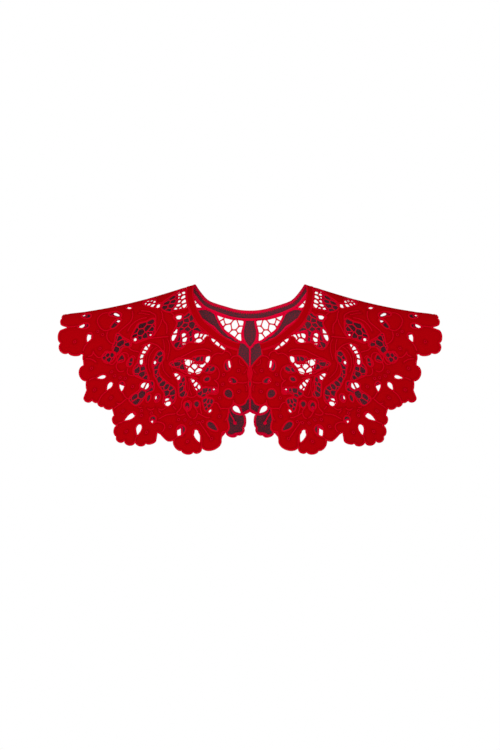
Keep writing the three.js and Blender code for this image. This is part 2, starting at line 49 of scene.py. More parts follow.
# The worn form, with the same driving dimensions as the frame
NECK_HALF_WIDTH = 70.0
SHOULDER_SLOPE = 0.386
SHOULDER_EASE = 0.00094
NECK_SOFTNESS = 40.0
FRONT_BEND_RADIUS = 30.0
BACK_BEND_RADIUS = 22.0
END_BEND_RADIUS = 10.0
BEND_TAPER_START = 60.0
BEND_TAPER_LENGTH = 180.0
BAND_WIDTH_FRONT = 8.6
BAND_WIDTH_BACK = 11.4
BAND_SWELL_START = 35.0
BAND_SWELL_LENGTH = 35.0
BAND_CORNER = 68.6
BACK_NECK_DROP = 31.9

# Cloth, with motifs that puff up between their seams
CLOTH_THICKNESS = 1.0
BAND_THICKNESS = 1.5
PUFF_HEIGHT = 0.7
PUFF_REACH = 4.0
SEAM_REACH = 1.9
GROOVE_DEPTH = 0.4

# Cords round the hem, the windows and the band: width and height are half sizes, and overhang
# is how far a cord stands past the cut edge of the cloth.
EDGE_WIDTH_FRONT = 1.25
EDGE_WIDTH_BACK = 1.65
EDGE_HEIGHT = 1.15
HEM_OVERHANG = 0.7
WINDOW_OVERHANG_FRONT = 0.5
WINDOW_OVERHANG_BACK = 1.3
TRIM_WIDTH_FRONT = 1.1
TRIM_WIDTH_BACK = 1.9
TRIM_HEIGHT = 1.0
TRIM_OVERHANG = 0.35
TRIM_BLEND_LENGTH = 40.0
SEAM_HEIGHT = 1.3
ZIGZAG_PITCH = 3.0
ZIGZAG_DEPTH = 1.15
ZIGZAG_WIDTH = 0.9
ZIGZAG_HEIGHT = 0.6
ZIGZAG_LIFT = -1.1
ZIGZAG_OFFSET_SIDE = 1.8
ZIGZAG_OFFSET_MIDDLE = 2.8

# Lines sewn over the cloth, and small rings
CORD_HEIGHT = 1.15
CORD_END = 0.35
GROOVE_CORD = 0.65
CLEAR_OF_EDGES = 3.0
SHORTEST_RUN = 5
RING_RADIUS = 1.5
RING_CORD = 0.6
RING_HEIGHT = 1.7
RING_SIDES = 12

# Net in the windows
NET_CELL = 6.4
BACK_NET_CELL = 11.0
NET_BAR = 0.58
BACK_NET_BAR = 1.1
NECK_NET_BAR = 0.85
NET_KNOT = 1.5
NET_JITTER = 0.3
NET_MARGIN = 3
CELL_CLEARANCE = 0.8
CELL_ROUNDNESS = 0.7

# The loops of thread that hold the hidden hook
HOOK_DOWN = 112
HOOK_STITCH_OUT = 7.2
HOOK_STITCH_LENGTH = 3.2
HOOK_STITCH_SPREAD = 2.2
HOOK_STITCHES = 5
HOOK_STITCH_LIFT = np.array([-2.3, -2.5, -1.9, -0.6])

# Spacing and numbers of the points that the meshes are made from. A stretch of hem that swells
# less than FLAT_SWELL is straight, and the ends of the others lean in by ARC_LEAN of their length.
POINT_SPACING = 2.3
POINT_JITTER = 0.2
OUTLINE_SPACING = 1.6
CORD_SPACING = 1.5
BAND_SPACING = 2.5
SEAM_SAMPLING = 0.8
ROW_STEP = 0.87
FLAT_SWELL = 0.05
ARC_LEAN = 0.06
CURVE_STEPS = 5
EYE_SIDES = 20
BAND_ROWS = 5
BAR_STEPS = 13
SURFACE_STEPS = 12
SLOPE_STEP = 0.05
SMALLEST = 1e-9
MERGE_DISTANCE = 1e-4

# The seam between the band and the lace, as (place, half width): the place is along the flat
# cloth, 0 on the shoulder line and growing towards the back.
SEAM_WIDTH_FRONT = 0.8
SEAM_WIDTHS = [(-20, SEAM_WIDTH_FRONT), (10, 2.9), (28, 3.3), (42, 2.6), (56, 1.6), (70, 1.5)]

# In every table out is measured from the centre and down from the neck points, as seen from
# the front, and swell is how far a line stands beyond the straight way to the next row.
Hem = namedtuple("Hem", "out down swell", defaults=[0])
FRONT_HEM = [
    Hem(15.3, 87.4, 1.5), Hem(0.25, 105), Hem(0.25, 118), Hem(1.6, 123.4), Hem(0.25, 129), Hem(0.25, 137),
    Hem(1, 139.8, 0.4), Hem(4.4, 143.6, 4.9), Hem(19.8, 147.4, 1), Hem(25.9, 154, 0.4), Hem(28.2, 168, 0.8),
    Hem(26, 179, 0.8), Hem(29.6, 183.4), Hem(34.2, 183.6), Hem(36, 193, 8.5), Hem(60.8, 202.2, 4.8),
    Hem(71.2, 208.2, 3.9), Hem(85.6, 206.6, 4.8), Hem(94.4, 192.6, 1.6), Hem(104.2, 194, 0.4),
    Hem(111.4, 186.6), Hem(116, 184), Hem(117.6, 193.4, 3), Hem(130.6, 197.4, 4.8), Hem(143.6, 195.2, 5.6),
    Hem(157.2, 194.2, 5), Hem(166.8, 189, 4.4), Hem(164.8, 175.2, 4.8), Hem(169.6, 163),
    Hem(172.4, 153.4, 3), Hem(183, 151.2, 3), Hem(190.2, 146.2, 2), Hem(197.4, 143.2, 4.2), Hem(207.8, 141),
    Hem(203.8, 131, 0.9), Hem(204.2, 119.8, 7.6), Hem(207.8, 100.4), Hem(208.2, 94.5, 0.8),
    Hem(208.2, 86.8), Hem(211.2, 85.6, 3.2), Hem(227, 84.4, 6.8), Hem(236.4, 72.2, 4.4), Hem(234.6, 55.8),
    Hem(226.8, 52.8), Hem(234.4, 50.4, 2.4), Hem(234.6, 42.2, 2), Hem(231, 37.6),
]
BACK_HEM = [
    Hem(0, 157.5, 0.6), Hem(7.8, 161.2, 2.8), Hem(7.8, 178.2, 3.9), Hem(15.8, 187, 4.7), Hem(30.2, 183.4),
    Hem(36.4, 190.6, 3.4), Hem(48, 194, 3), Hem(60.4, 189, 0.6), Hem(64.4, 183), Hem(65, 178),
    Hem(71.5, 178, 4), Hem(76.5, 190, 3), Hem(85.8, 187.4, 0.2), Hem(86, 176, 4), Hem(104, 179.5, 4.2),
    Hem(121, 171, 3.6), Hem(135, 166, 3.6), Hem(147, 155.5, 3.6), Hem(156.4, 141.5, 0.6),
    Hem(156.2, 125.6, 1.4), Hem(172.5, 117, 3.2), Hem(183, 106, 3.4), Hem(192, 92, 3.4),
    Hem(195.5, 76, 1.6), Hem(197.4, 62, 0.4), Hem(206, 59.4, 1.2), Hem(216, 56.4, 2.4), Hem(226, 47, 1.6),
    Hem(231, 37.6),
]

# The inner edge of the neck band, as (out, down)
FRONT_NECKLINE = [
    (12, 72.6), (15, 72.2), (20.4, 70.2), (28.6, 66.8), (38.4, 60.4), (47.8, 52.4), (57.4, 43.9),
    (64.6, 32.2), (69, 20.8), (70.8, 10), (70.6, 4),
]
BACK_NECKLINE = [
    (66.4, 1.5), (64.4, 4.8), (60.6, 9.8), (56, 15.3), (50, 20.1), (39.6, 24), (29.4, 27), (20, 29.7),
    (10, 31.4),
]

# Windows between the motifs, each with its corners as (out, down)
FRONT_WINDOWS = {
    "shoulder net": [(80.4, 6.6), (80, 16), (78.4, 27), (84, 29.6), (92, 31), (101, 33.4), (109, 30),
        (110, 23), (96.5, 13), (91.6, 8.4), (87.4, 6.4)],
    "shoulder slot": [(118, 18.6), (126, 18.2), (132.4, 20.8), (132.4, 24.4), (126, 26.6), (119, 27.6)],
    "shoulder eye": [(110.8, 23), (115.4, 23.8), (118.6, 27), (116.4, 28.8), (112.8, 27.8)],
    "outer slot": [(161.2, 36.6), (166.6, 33.4), (171.2, 34), (175.6, 34.6), (175, 38), (170.4, 38.6),
        (165.2, 40.6), (162, 39.8)],
    "outer leaf": [(161.2, 43.4), (166.8, 43.4), (174.2, 52.4), (169, 53.2)],
    "band net": [(74.8, 34.2), (66.4, 49.4), (59, 58.2), (50, 62.2), (56.6, 65.8), (59.2, 72.4),
        (76.6, 71.4), (84.6, 78.4), (92.4, 79.2), (98.6, 66.4), (91.2, 49.4), (92, 44), (95.4, 39.8),
        (86.4, 36.4), (82, 38.6)],
    "band slot": [(48.6, 65.4), (43.2, 67.8), (30.8, 79), (32.8, 81), (39.4, 77), (45.4, 72.8), (49, 68.6)],
    "flower net": [(100.4, 98.4), (91, 94), (81.6, 92.4), (73, 93.4), (66, 98), (58.8, 96.6), (56.2, 90.2),
        (50.4, 88.6), (50.2, 93.8), (56, 101.6), (63, 110.6), (76.4, 110.6), (88, 104.8)],
    "flower slot": [(71.4, 90.6), (56.6, 89), (58.8, 95.6), (65, 96.6)],
    "long net, upper": [(124.2, 73.2), (131.8, 76.6), (137.8, 88), (140.2, 97), (145, 104), (144.2, 111.6),
        (135, 116.2), (128.4, 118.8), (126.6, 117), (130.6, 105), (133.2, 91), (128.2, 82.6)],
    "long net, lower": [(121, 121.4), (127.6, 120.4), (137, 123.6), (137.6, 131), (150.4, 141),
        (146.6, 147.4), (141.8, 150), (136, 146.2), (128, 134.4), (121, 131.6)],
    "stem net": [(108.4, 83.6), (115.4, 83.6), (121.4, 98), (119.8, 106), (119.2, 112.6), (115.8, 119),
        (113.6, 125), (106.8, 134.8), (107.4, 142), (108, 147), (103, 151.4), (97.8, 148.2), (93.4, 143.4),
        (94, 130.2), (101, 124), (112.6, 113.8), (114.2, 102), (108, 92)],
    "outer net, upper": [(166, 60.6), (158.6, 65.8), (150, 71), (149.4, 76.6), (158, 77), (164.4, 86),
        (168.6, 85.4), (171.6, 78), (168.6, 71)],
    "outer net, lower": [(184.4, 90.4), (180.8, 85), (170.6, 84.2), (168.6, 88), (173.2, 95.2),
        (180, 96.4)],
    "scroll net": [(119.8, 42.4), (119, 56), (122.4, 64), (136.4, 69.8), (143.4, 71.8), (148, 66),
        (142.6, 54), (138.8, 48.4), (130, 46)],
    "petal gap, outer": [(158.8, 87.6), (161.8, 88), (165.4, 95.8), (157.2, 94.2)],
    "petal gap, inner": [(146.4, 91.4), (149.4, 91), (152.4, 94.6), (153.6, 99.4), (150.2, 101.6),
        (147.2, 98.8)],
    "petal slit": [(57.6, 106.4), (52.6, 101.4), (45.4, 101.2), (43.6, 105.2), (47.4, 109), (54.2, 109)],
    "inner leaf gap": [(75, 117), (69.2, 118.2), (60.8, 127.2), (67.4, 131.8), (70.8, 125)],
    "inner net": [(65.2, 132.2), (59.6, 128.8), (43.6, 128.4), (40.8, 132), (44.6, 135.4), (51, 135.2),
        (58, 140), (64.8, 137.4)],
    "petal net": [(59, 142), (51.6, 141), (45.6, 145), (52.4, 155.8), (55.8, 156)],
    "leaf net": [(95.4, 109.8), (84.6, 112.4), (81, 118), (81.4, 131), (78.4, 136), (80.8, 139.6),
        (88, 138), (88.8, 121.6), (91.4, 117)],
}
NECK_WINDOWS = {
    "net beside the leaf": [(41.8, 37.2), (34, 39.2), (22, 42.2), (8, 43.8), (7.8, 50), (10.2, 60.4),
        (10.8, 71.2), (24.2, 62.2), (32.4, 55.8), (38, 46.8)],
    "neck corner": [(70.8, 13.6), (66, 18.6), (62.4, 23), (58.4, 27.8), (66, 28.8), (71, 23.4)],
}
BACK_WINDOWS = {
    "shoulder net": [(80.4, 7.8), (79.4, 16), (77.6, 27), (84, 29.6), (94, 31.6), (96, 29.6), (91, 21),
        (90.6, 9.6), (87, 7)],
    "shoulder slot": [(117.6, 18.8), (126, 18.4), (131.6, 21), (131, 26.2), (118.2, 27.6)],
    "shoulder eye": [(110.4, 22.6), (115.4, 23.4), (119, 27), (116.6, 29.2), (112.4, 28.4)],
    "side net, top": [(84.4, 37.8), (88, 36.8), (94, 38.4), (91.6, 43.4), (86, 43)],
    "side net, outer": [(89.8, 54), (94, 55.6), (98.8, 63), (98.4, 69.4), (94.6, 71.6), (91.2, 66)],
    "side net, inner": [(78.8, 59.2), (84.6, 56.8), (86.4, 60), (85.4, 68), (84.4, 75.4), (77.6, 72.8),
        (77, 66)],
    "side slot": [(49.8, 62.8), (55, 60.6), (62, 59.6), (70.2, 57.4), (71.2, 61), (70, 71.4), (66, 72.8),
        (59.6, 72.4), (56, 66.8)],
    "leaf slot": [(48.8, 65.6), (43, 67.6), (30.6, 79), (32.4, 81.6), (38.8, 78), (45, 73.4), (48.8, 69)],
    "outer slot": [(162.2, 37), (166.6, 34), (171, 34.6), (170.8, 37.8), (165.4, 40), (162.4, 39.4)],
    "petal net": [(82.6, 92.4), (73, 93), (64, 97.6), (57.8, 97.2), (56.4, 88.4), (49.6, 88), (49.6, 94),
        (54.4, 101), (61.4, 111), (76, 111.6), (79.2, 107)],
    "inner leaf gap": [(75.4, 116.4), (69, 117.8), (60.6, 127.4), (67, 133), (71.2, 125)],
    "leaf gap": [(95.8, 109.4), (87.6, 111), (86.2, 115.4), (88.4, 121.6), (91.6, 121)],
    "stem gap": [(99.8, 141.4), (106.4, 141.2), (108.4, 147.8), (103.4, 152.6), (97.6, 149.4)],
    "long gap, upper": [(123.6, 72.6), (131.4, 75.6), (138, 88.6), (138.2, 99), (132.8, 99.6), (132.8, 90),
        (126.4, 80)],
    "long gap, lower": [(128.4, 120.6), (137, 119.8), (139.2, 126), (133.4, 130), (129.8, 131.2),
        (124.2, 127), (125.4, 122)],
    "centre slot": [(24.8, 94), (28.2, 94.2), (27.4, 102), (25.6, 104.2), (22.8, 103.6), (23.8, 98)],
}

# Eyes are small drop-shaped holes: turn is the way the narrow end points, in degrees down from
# outward, and point is how sharp that end is.
Eye = namedtuple("Eye", "out down long wide turn point")
EYE_TAPER = 0.55
FRONT_EYES = [
    Eye(204.4, 38.7, 11.4, 6, 4, 0.2), Eye(208.3, 51.3, 14.5, 6.8, 10, 0.7),
    Eye(201.2, 65.8, 12, 7.8, 68, 0.7), Eye(150.8, 28.6, 7.2, 3.8, 0, 0), Eye(185.9, 115, 12.4, 6, 10, 0.8),
    Eye(175.8, 126.4, 12.2, 7.6, 58, 0.8), Eye(160.2, 127, 12.6, 7.8, 90, 0.7),
    Eye(150.6, 165, 17, 8.2, 33, 0.8), Eye(139.2, 180.8, 15, 8.8, 78, 0.8),
    Eye(121.4, 168, 8.6, 7.8, 90, 0.2), Eye(86.8, 182.2, 14.4, 11.4, 62, 0.5),
    Eye(65.9, 188.5, 17.2, 8.8, 110, 0.6), Eye(46.8, 176.6, 16.4, 8.8, 140, 0.6),
    Eye(126.8, 141.2, 9.6, 5, 75, 0.3), Eye(115.8, 141.2, 10, 7.2, 75, 0.3),
    Eye(78.6, 151.4, 11.2, 7.8, 104, 0.4), Eye(66.6, 148.8, 8, 7.2, 100, 0.3),
    Eye(26.6, 135.8, 12, 10.6, 128, 0.3), Eye(21, 119.5, 10, 7.2, 155, 0.4),
    Eye(27.6, 100.2, 13.6, 8.6, 84, 0.1), Eye(53.8, 117.6, 7.8, 6.2, 20, 0.3),
    Eye(50.2, 157.2, 6, 5, 60, 0.3),
]
BACK_EYES = [
    Eye(16.1, 155.9, 15.4, 10.2, 137, 0.7), Eye(150.8, 28.6, 7.8, 4.2, 0, 0),
    Eye(118.8, 96.8, 6.4, 5.6, 80, 0.2), Eye(45, 130.2, 5, 4.2, 0, 0), Eye(164, 45.2, 7.4, 5, 0, 0.1),
    Eye(50.2, 157.2, 6.6, 5.6, 60, 0.3), Eye(118.2, 140, 7.6, 5.4, 100, 0), Eye(143.8, 68, 7.4, 6, 0, 0),
    Eye(124.2, 62.2, 5, 4.4, 0, 0), Eye(208, 37.6, 6.6, 4.6, 0, 0.1), Eye(210.4, 51.4, 11, 6.8, 30, 0.4),
    Eye(122.6, 170.6, 4.2, 3.6, 0, 0), Eye(25.4, 120.4, 4.2, 4.2, 0, 0),
]

# Middles of the small rings sewn on the cloth, as (out, down)
FRONT_RINGS = [
    (219, 71), (187.3, 79.3), (190, 58), (184, 62), (198, 104), (172.5, 108.5), (168.8, 113.5),
    (162, 115.8), (155.7, 117), (146.5, 127), (194, 131), (173.5, 141), (158.5, 157.5), (135.5, 157),
    (135.5, 163), (123, 160), (154.5, 183), (129, 184), (99.5, 177), (89, 168), (81, 168.5), (73.7, 172.5),
    (65.5, 172), (59, 170.5), (78, 195.5), (48, 192), (38, 164), (38, 141), (34, 124), (33, 112),
    (14.3, 107), (14, 133),
]

# Sewn lines over the cloth: their places as (out, down), and half their width
FINE, PLAIN, BOLD = 0.7, 0.95, 1.3
Cord = namedtuple("Cord", "places width", defaults=[PLAIN])
FRONT_CORDS = [
    Cord([(1.4, 103), (2.3, 107), (2.6, 110.5), (1.9, 114), (1.2, 118)], BOLD),
    # Outer flower and the petals round it
    Cord([(201.4, 70.7), (205.7, 75.7), (207.5, 79.3), (209, 83)]),
    Cord([(196, 82), (196.3, 86.2), (199, 88.5), (203, 89.3)]),
    Cord([(196.3, 82), (195, 85.5), (192, 88.8), (188.5, 90.7), (184, 89.3)]),
    Cord([(206, 92), (198, 92.7), (191.5, 96.8)]),
    Cord([(228, 52.6), (221, 52), (215.5, 51)]),
    Cord([(173, 35.8), (176.4, 35), (181, 35), (185, 36.5), (188.5, 39.5), (190.5, 43.6), (190, 48),
        (188, 52), (184.5, 55.6), (180, 57), (175.7, 55.9), (172.9, 54)]),
    Cord([(177, 57.3), (178.7, 61), (178.6, 66), (176.4, 70), (173, 72.7), (168, 73.6)]),
    Cord([(171, 84), (175, 83.4), (178.6, 82.5), (181.5, 83.5), (183, 87), (186, 90)]),
    Cord([(202, 119.5), (198, 117), (193, 115.5)]),
    Cord([(178, 132), (183, 135.8), (186.5, 140), (188.8, 145), (189.5, 149)]),
    # Long line under the scroll, round the net
    Cord([(138, 84.5), (140.7, 82.9), (144.3, 82.5), (148.6, 80.7), (151.4, 77.9), (155, 76.8),
        (159.3, 78.2), (162, 81.4), (165, 85), (166.5, 88.6), (167, 93.6), (169, 97), (171.4, 99),
        (175, 98.6), (178.6, 95.7), (181.5, 91.5)]),
    Cord([(152.3, 91.5), (152, 87.5), (154.5, 84.8), (159, 84.8), (162.5, 87.5), (165, 92)]),
    Cord([(158, 93), (162, 94.3), (165, 96.7), (167.2, 100.7), (165.8, 105.7), (162.1, 108.3),
        (156.4, 107)]),
    Cord([(143, 92.5), (144, 89.5), (146.4, 88.2), (149.3, 90.3), (151.3, 94), (152.3, 98), (151.4, 102)]),
    Cord([(152, 103), (153.2, 107), (153, 110), (150.7, 112.5), (145.7, 113.3), (141.4, 113),
        (137.9, 114.3), (135.7, 116.5)]),
    # Scrolls at the shoulder
    Cord([(147, 32), (146.4, 38), (147.9, 43.6), (150.7, 47.5), (155, 51), (158.6, 54), (162.2, 57),
        (165, 60.7)]),
    Cord([(128, 41), (132, 41.2), (137, 42.5), (142.9, 45.4), (145.7, 47.9), (148.6, 50.7), (151.4, 55),
        (152.9, 58.6)]),
    Cord([(137, 32.3), (127.1, 32.9), (122.1, 35), (118.6, 37.1), (117.5, 40.7), (118.2, 45.7),
        (119.5, 51)]),
    Cord([(124.3, 37.3), (129.3, 36.4), (135, 35.2), (140, 35.5)], FINE),
    Cord([(111.4, 31.4), (109.3, 36.4), (108.9, 41.4), (107.1, 45.7), (104.3, 49.3), (103.6, 55),
        (103.9, 61.4)]),
    Cord([(110, 42), (111.3, 48), (113.6, 52.3), (116, 57), (119, 62), (120, 64.5)]),
    Cord([(92, 44), (93, 40.5), (96.5, 36.2), (100.7, 33.6), (105, 32.5)]),
    Cord([(101, 64.3), (110, 65), (120, 66), (131, 68), (137, 69), (141, 69.7), (145, 71.6), (149, 71.4),
        (154, 69.5), (158, 66), (161, 63)]),
    Cord([(137, 77), (130, 73.5), (122, 73), (115, 76), (110, 81)]),
    # Strands of the tall stem
    Cord([(103.8, 66.5), (101.5, 71), (100.4, 76), (100.5, 82), (102, 88), (103.5, 94)], FINE),
    Cord([(109, 66.5), (107.5, 72), (106.8, 79), (107.5, 85.7), (109, 93), (109.3, 100), (107.5, 107),
        (103.6, 112), (99, 116.5)], FINE),
    Cord([(97.8, 100), (97.5, 104.3), (96, 108)], FINE),
    Cord([(115, 77.3), (119.5, 80), (123, 84.5), (125.8, 90), (126.7, 97), (126.2, 104), (124, 110)], FINE),
    Cord([(120, 76.5), (124.5, 80), (128, 86), (129.5, 93), (129.3, 100)], FINE),
    # Long leaf under the band, and the leaf below it
    Cord([(48, 83.5), (52, 81), (58, 80), (64, 80.5), (70, 82), (76, 85), (83, 88.5), (87, 90.5),
        (93, 92.5), (97, 97)]),
    Cord([(62, 113.5), (68, 111.5), (75, 109), (85, 106), (93, 104)]),
    Cord([(64, 117), (72, 114.5), (80, 113), (86, 111.8)]),
    Cord([(77, 116), (76, 122), (75.8, 128), (74.4, 133.5), (72, 138.5)], FINE),
    Cord([(79, 119), (78, 125), (77.3, 130), (76.8, 135)], FINE),
    # Front flower: top petals
    Cord([(24, 93), (22, 90), (18, 88.5), (13, 89)]),
    Cord([(23.5, 89.5), (25, 85), (29, 82.5), (32, 83), (35, 86), (40, 85), (46, 88), (48.6, 92),
        (49.5, 96), (52, 98.5), (53.2, 101)]),
    Cord([(12.6, 92), (13.2, 96.5), (11, 99.5), (7, 100.8)], FINE),
    Cord([(4, 104), (5.2, 107.5), (8.5, 110.8)], FINE),
    Cord([(52, 99.8), (48, 100.3), (43, 101.5), (40, 104), (38.5, 108), (38.2, 112), (40, 117),
        (43.5, 119.5)]),
    Cord([(44, 106.5), (48, 109), (53, 110.3), (58.5, 108)]),
    Cord([(45.5, 118), (41.2, 121.5), (39.5, 125), (39.7, 130), (39.6, 133.6), (41.4, 136.4), (45.7, 136.6),
        (50, 135.9)]),
    Cord([(39.7, 131), (41.5, 128.7), (46, 127.6), (52, 127.4), (57, 126.2)]),
    Cord([(2.5, 120.5), (6, 122), (11, 122.3), (15.5, 121.5)]),
    Cord([(6, 124.5), (3.8, 128), (4.2, 133)], FINE),
    Cord([(20.5, 143), (21.2, 148), (23.6, 152), (27.1, 154.2), (31.5, 154), (36, 154.2), (38, 152.5),
        (39.3, 149.3), (41.4, 147.1), (45, 146.3)]),
    Cord([(35.8, 154), (37.4, 157)], FINE),
    Cord([(27.5, 163), (29.5, 167), (31.5, 170)], FINE),
    Cord([(72, 166.5), (69, 166.4), (66.5, 163.5), (65.3, 160), (61, 162.3), (57, 164.4), (53, 165.8),
        (49.5, 165)]),
    # Front flower: the petals with the two eyes
    Cord([(60, 140.5), (66, 137.5), (70, 139.8), (74, 140.3), (79, 139.3), (82.3, 141.2), (84.5, 144),
        (85.7, 148), (85.9, 152.5), (88, 156), (91.2, 159.3), (90.3, 161.7), (87.5, 162.6), (84, 162),
        (80.4, 160.5)]),
    Cord([(75.5, 157.8), (73.2, 152.5), (73, 147.5), (75.5, 144.6), (78.5, 144.8), (81.5, 148),
        (81.8, 152.5), (80, 156.7), (78, 160.7), (75.7, 164.3), (72.5, 166.7)]),
    Cord([(65.3, 160), (66.5, 156), (69.3, 152.5), (70.6, 148.5), (69, 144.8), (65.5, 143.8), (62.2, 146.3),
        (61.5, 150.5), (62.3, 154), (61, 158), (60, 161.5)]),
    # Lower lobes
    Cord([(63.5, 170), (60.5, 175), (57.3, 179.5), (54.5, 183.5), (51.5, 188), (49.5, 191)]),
    Cord([(60.3, 203), (60.2, 198), (60, 193), (60.5, 189)], FINE),
    Cord([(82, 188), (88, 189.5), (92.5, 190.9), (95, 193)], FINE),
    Cord([(120.7, 172.3), (115.5, 171), (110, 172.2), (107.1, 174.3), (106.3, 177.5), (107.9, 181.4),
        (111, 184.5)]),
    Cord([(115, 168), (110.7, 165.6), (105.7, 162.9), (100.7, 161.4), (97, 161.3), (92.5, 160.5)]),
    Cord([(91.5, 155.5), (94, 153.8), (96.2, 150.5)]),
    Cord([(104, 152.5), (107, 154.5), (111, 156), (114.8, 154)]),
    Cord([(110.5, 160.5), (112.5, 158.5), (114.6, 155.8)]),
    Cord([(119, 153), (121.5, 155.5), (125, 156), (128.6, 153.8)]),
    Cord([(134.5, 152.5), (137.5, 153.2), (140, 151.5)]),
    Cord([(141.3, 188), (142.8, 192), (143.8, 195.5)], FINE),
    Cord([(166, 173), (162, 172), (159.5, 171), (157, 169)]),
    Cord([(159.5, 133), (156.6, 138.5), (153.6, 141.5), (150.5, 142.3)]),
    Cord([(153.6, 141.5), (157, 144.3), (160.5, 147.5), (164, 148.3), (167.2, 146.8)]),
    Cord([(161, 148.3), (165, 150.4), (168, 152.5), (170.3, 155)]),
]
BACK_CORDS = [
    Cord([(66, 31), (61, 29.9), (55, 29.9), (49.5, 31.9), (44.8, 35), (41.6, 40), (38.8, 45.2),
        (35.5, 50.5), (32.2, 56.6), (27.8, 61.4), (23.6, 64.6)], BOLD),
    Cord([(61.4, 41.2), (58.1, 43.3), (51.2, 48.6), (45.6, 52), (41, 57.2), (36.1, 62.4), (30.6, 66.2),
        (22.8, 69.4)], 1.5),
    Cord([(9, 56.3), (8.7, 64), (6.9, 70), (3.8, 74.8), (0.5, 78.4)], 1.6),
    Cord([(0.5, 79), (5, 73.5), (12, 70.5), (20, 67.5)], BOLD),
    Cord([(0, 76), (0, 90), (0, 104), (0, 115)], BOLD),
    Cord([(0, 131), (0, 140), (0, 148), (0, 156)], BOLD),
    Cord([(18.9, 172), (19.9, 168.9), (22, 165), (24.3, 161.3), (25.6, 156.5)]),
    Cord([(79.6, 150.6), (77.8, 156)], 2.4),
    Cord([(27.6, 185.8), (23, 187.6), (18.4, 185.4), (14, 184.6), (9.6, 183.6)], BOLD),
    Cord([(9, 160), (5, 158), (2, 156.2), (0.2, 155.6)], BOLD),
    Cord([(17, 170.4), (18.9, 172), (20.8, 173.6)], 2.8),
]

# Middles of the net's larger cells, as (out, down)
FRONT_CELLS = [
    (88.4, 7.8), (83, 9.4), (88.2, 12), (84.2, 15.6), (89.6, 16), (83, 20.4), (88.6, 20.4), (90, 25.2),
    (82, 25.8), (93, 29.6), (87, 29.6), (97, 15.8), (96, 20.3), (104, 21.8), (99, 26.4), (102.3, 31.4),
    (106.3, 28), (127, 20), (123, 20), (119.5, 20.5), (130, 23), (126.5, 23.7), (121.5, 24.7), (114.5, 26),
    (124, 45.5), (134, 49.5), (127.5, 52.8), (124, 55), (137, 59.2), (144.2, 58.6), (144, 62.8),
    (142.7, 67.5), (139.6, 66.8), (130, 63.8), (126, 61), (163, 65.5), (161, 73), (153.5, 73.5),
    (167.6, 81.6), (126.5, 75.7), (129.5, 78.5), (132.5, 83.5), (135, 88.5), (136, 96), (141, 106.5),
    (134, 103.5), (134, 111), (130.5, 116), (133, 124.5), (128, 126), (123, 124), (125, 131), (136, 136),
    (143.5, 139), (141.5, 146), (79, 37.4), (73.4, 41), (79, 43.4), (87.2, 48.2), (82, 50.2), (71.8, 49),
    (65, 55), (79, 55.8), (75, 62), (73.6, 67.2), (90, 67), (91.4, 74), (86.4, 75.4), (88.6, 40), (93, 58),
    (95.4, 65), (83.4, 63), (82.2, 67.8), (86, 56), (66.2, 63), (60.5, 62.8), (57, 63.5), (64.2, 69.5),
    (45.5, 68.5), (40.7, 72.8), (34.2, 77.8), (113, 86.5), (117, 90.5), (111.5, 91.5), (118.8, 96.8),
    (117, 103), (117.5, 108), (113, 118.5), (109, 123), (103.5, 126.5), (98.5, 128), (96.5, 134),
    (104.5, 135.5), (96.8, 141), (103, 141.8), (103, 148.4), (92, 98.4), (83.4, 103.4), (149, 93.4),
    (150.8, 98.6), (77.7, 96), (69, 102.5), (74, 107.5), (60, 100), (64, 106), (65.5, 93), (59, 92.5),
    (53, 91.5), (92, 112), (89.6, 116.6), (89.8, 121.5), (83.4, 118.6), (87.2, 123.8), (85.2, 129.4),
    (83.6, 135.8), (71.5, 120.5), (68.5, 124.5), (68.5, 131), (63.5, 126.5), (54, 105), (47.5, 105.5),
    (45.2, 130), (56, 132), (56.8, 144.4), (48.2, 145.6), (52.2, 146), (56, 149.6), (51.4, 151.2),
    (54.6, 154.4), (49.8, 131), (63, 135), (57, 138.4), (171.8, 87), (178.5, 88.2), (181.8, 90.6),
    (176.3, 92.8),
]
BACK_CELLS = [
    (37.6, 40.2), (35.2, 47.2), (28.4, 44), (28, 53.8), (18.2, 50.6), (10.6, 47.4), (12, 55), (20.6, 61.4),
    (12.8, 64.8), (68.8, 19.2), (64, 25.6),
]


def smooth_step(value):
    t = np.clip(value, 0.0, 1.0)
    return t * t * (3 - 2 * t)


def shoulder_drop(out):
    """How far the shoulder line lies below the neck points."""
    reach = np.hypot(out, NECK_SOFTNESS) - math.hypot(NECK_HALF_WIDTH, NECK_SOFTNESS)
    return SHOULDER_SLOPE * reach - SHOULDER_EASE * reach * reach


def bend_radius(across, along):
    middle = np.where(np.asarray(along) < 0, FRONT_BEND_RADIUS, BACK_BEND_RADIUS)
    taper = smooth_step((np.abs(across) - BEND_TAPER_START) / BEND_TAPER_LENGTH)
    return middle + (END_BEND_RADIUS - middle) * taper


def bend_length(y, radius):
    steepness = y / radius
    return radius / 2 * (steepness * np.hypot(1, steepness) + np.arcsinh(steepness))


def flat(out, down, side):
    """The place on the flat lace, across and along it, of a point seen from the front."""
    radius = bend_radius(out, side)
    depth = np.maximum(0.0, down - shoulder_drop(out))
    along = side * bend_length(np.sqrt(2 * radius * depth), radius)
    return np.stack([np.asarray(out, float), along], axis=-1)


def flat_places(places, side):
    """The same for a table of (out, down)."""
    return flat(*np.array(places, float).T, side)


def middle_surface(across, along):
    """The worn place of points on the flat lace, where the bend's length matches theirs."""
    radius = bend_radius(across, along)
    length = np.abs(along)
    y = np.minimum(length, np.sqrt(2 * radius * length))
    for _ in range(SURFACE_STEPS):
        y = y - (bend_length(y, radius) - length) / np.hypot(1, y / radius)
    z = -shoulder_drop(across) - y * y / (2 * radius)
    return np.stack([across, np.sign(along) * y, z], axis=-1)


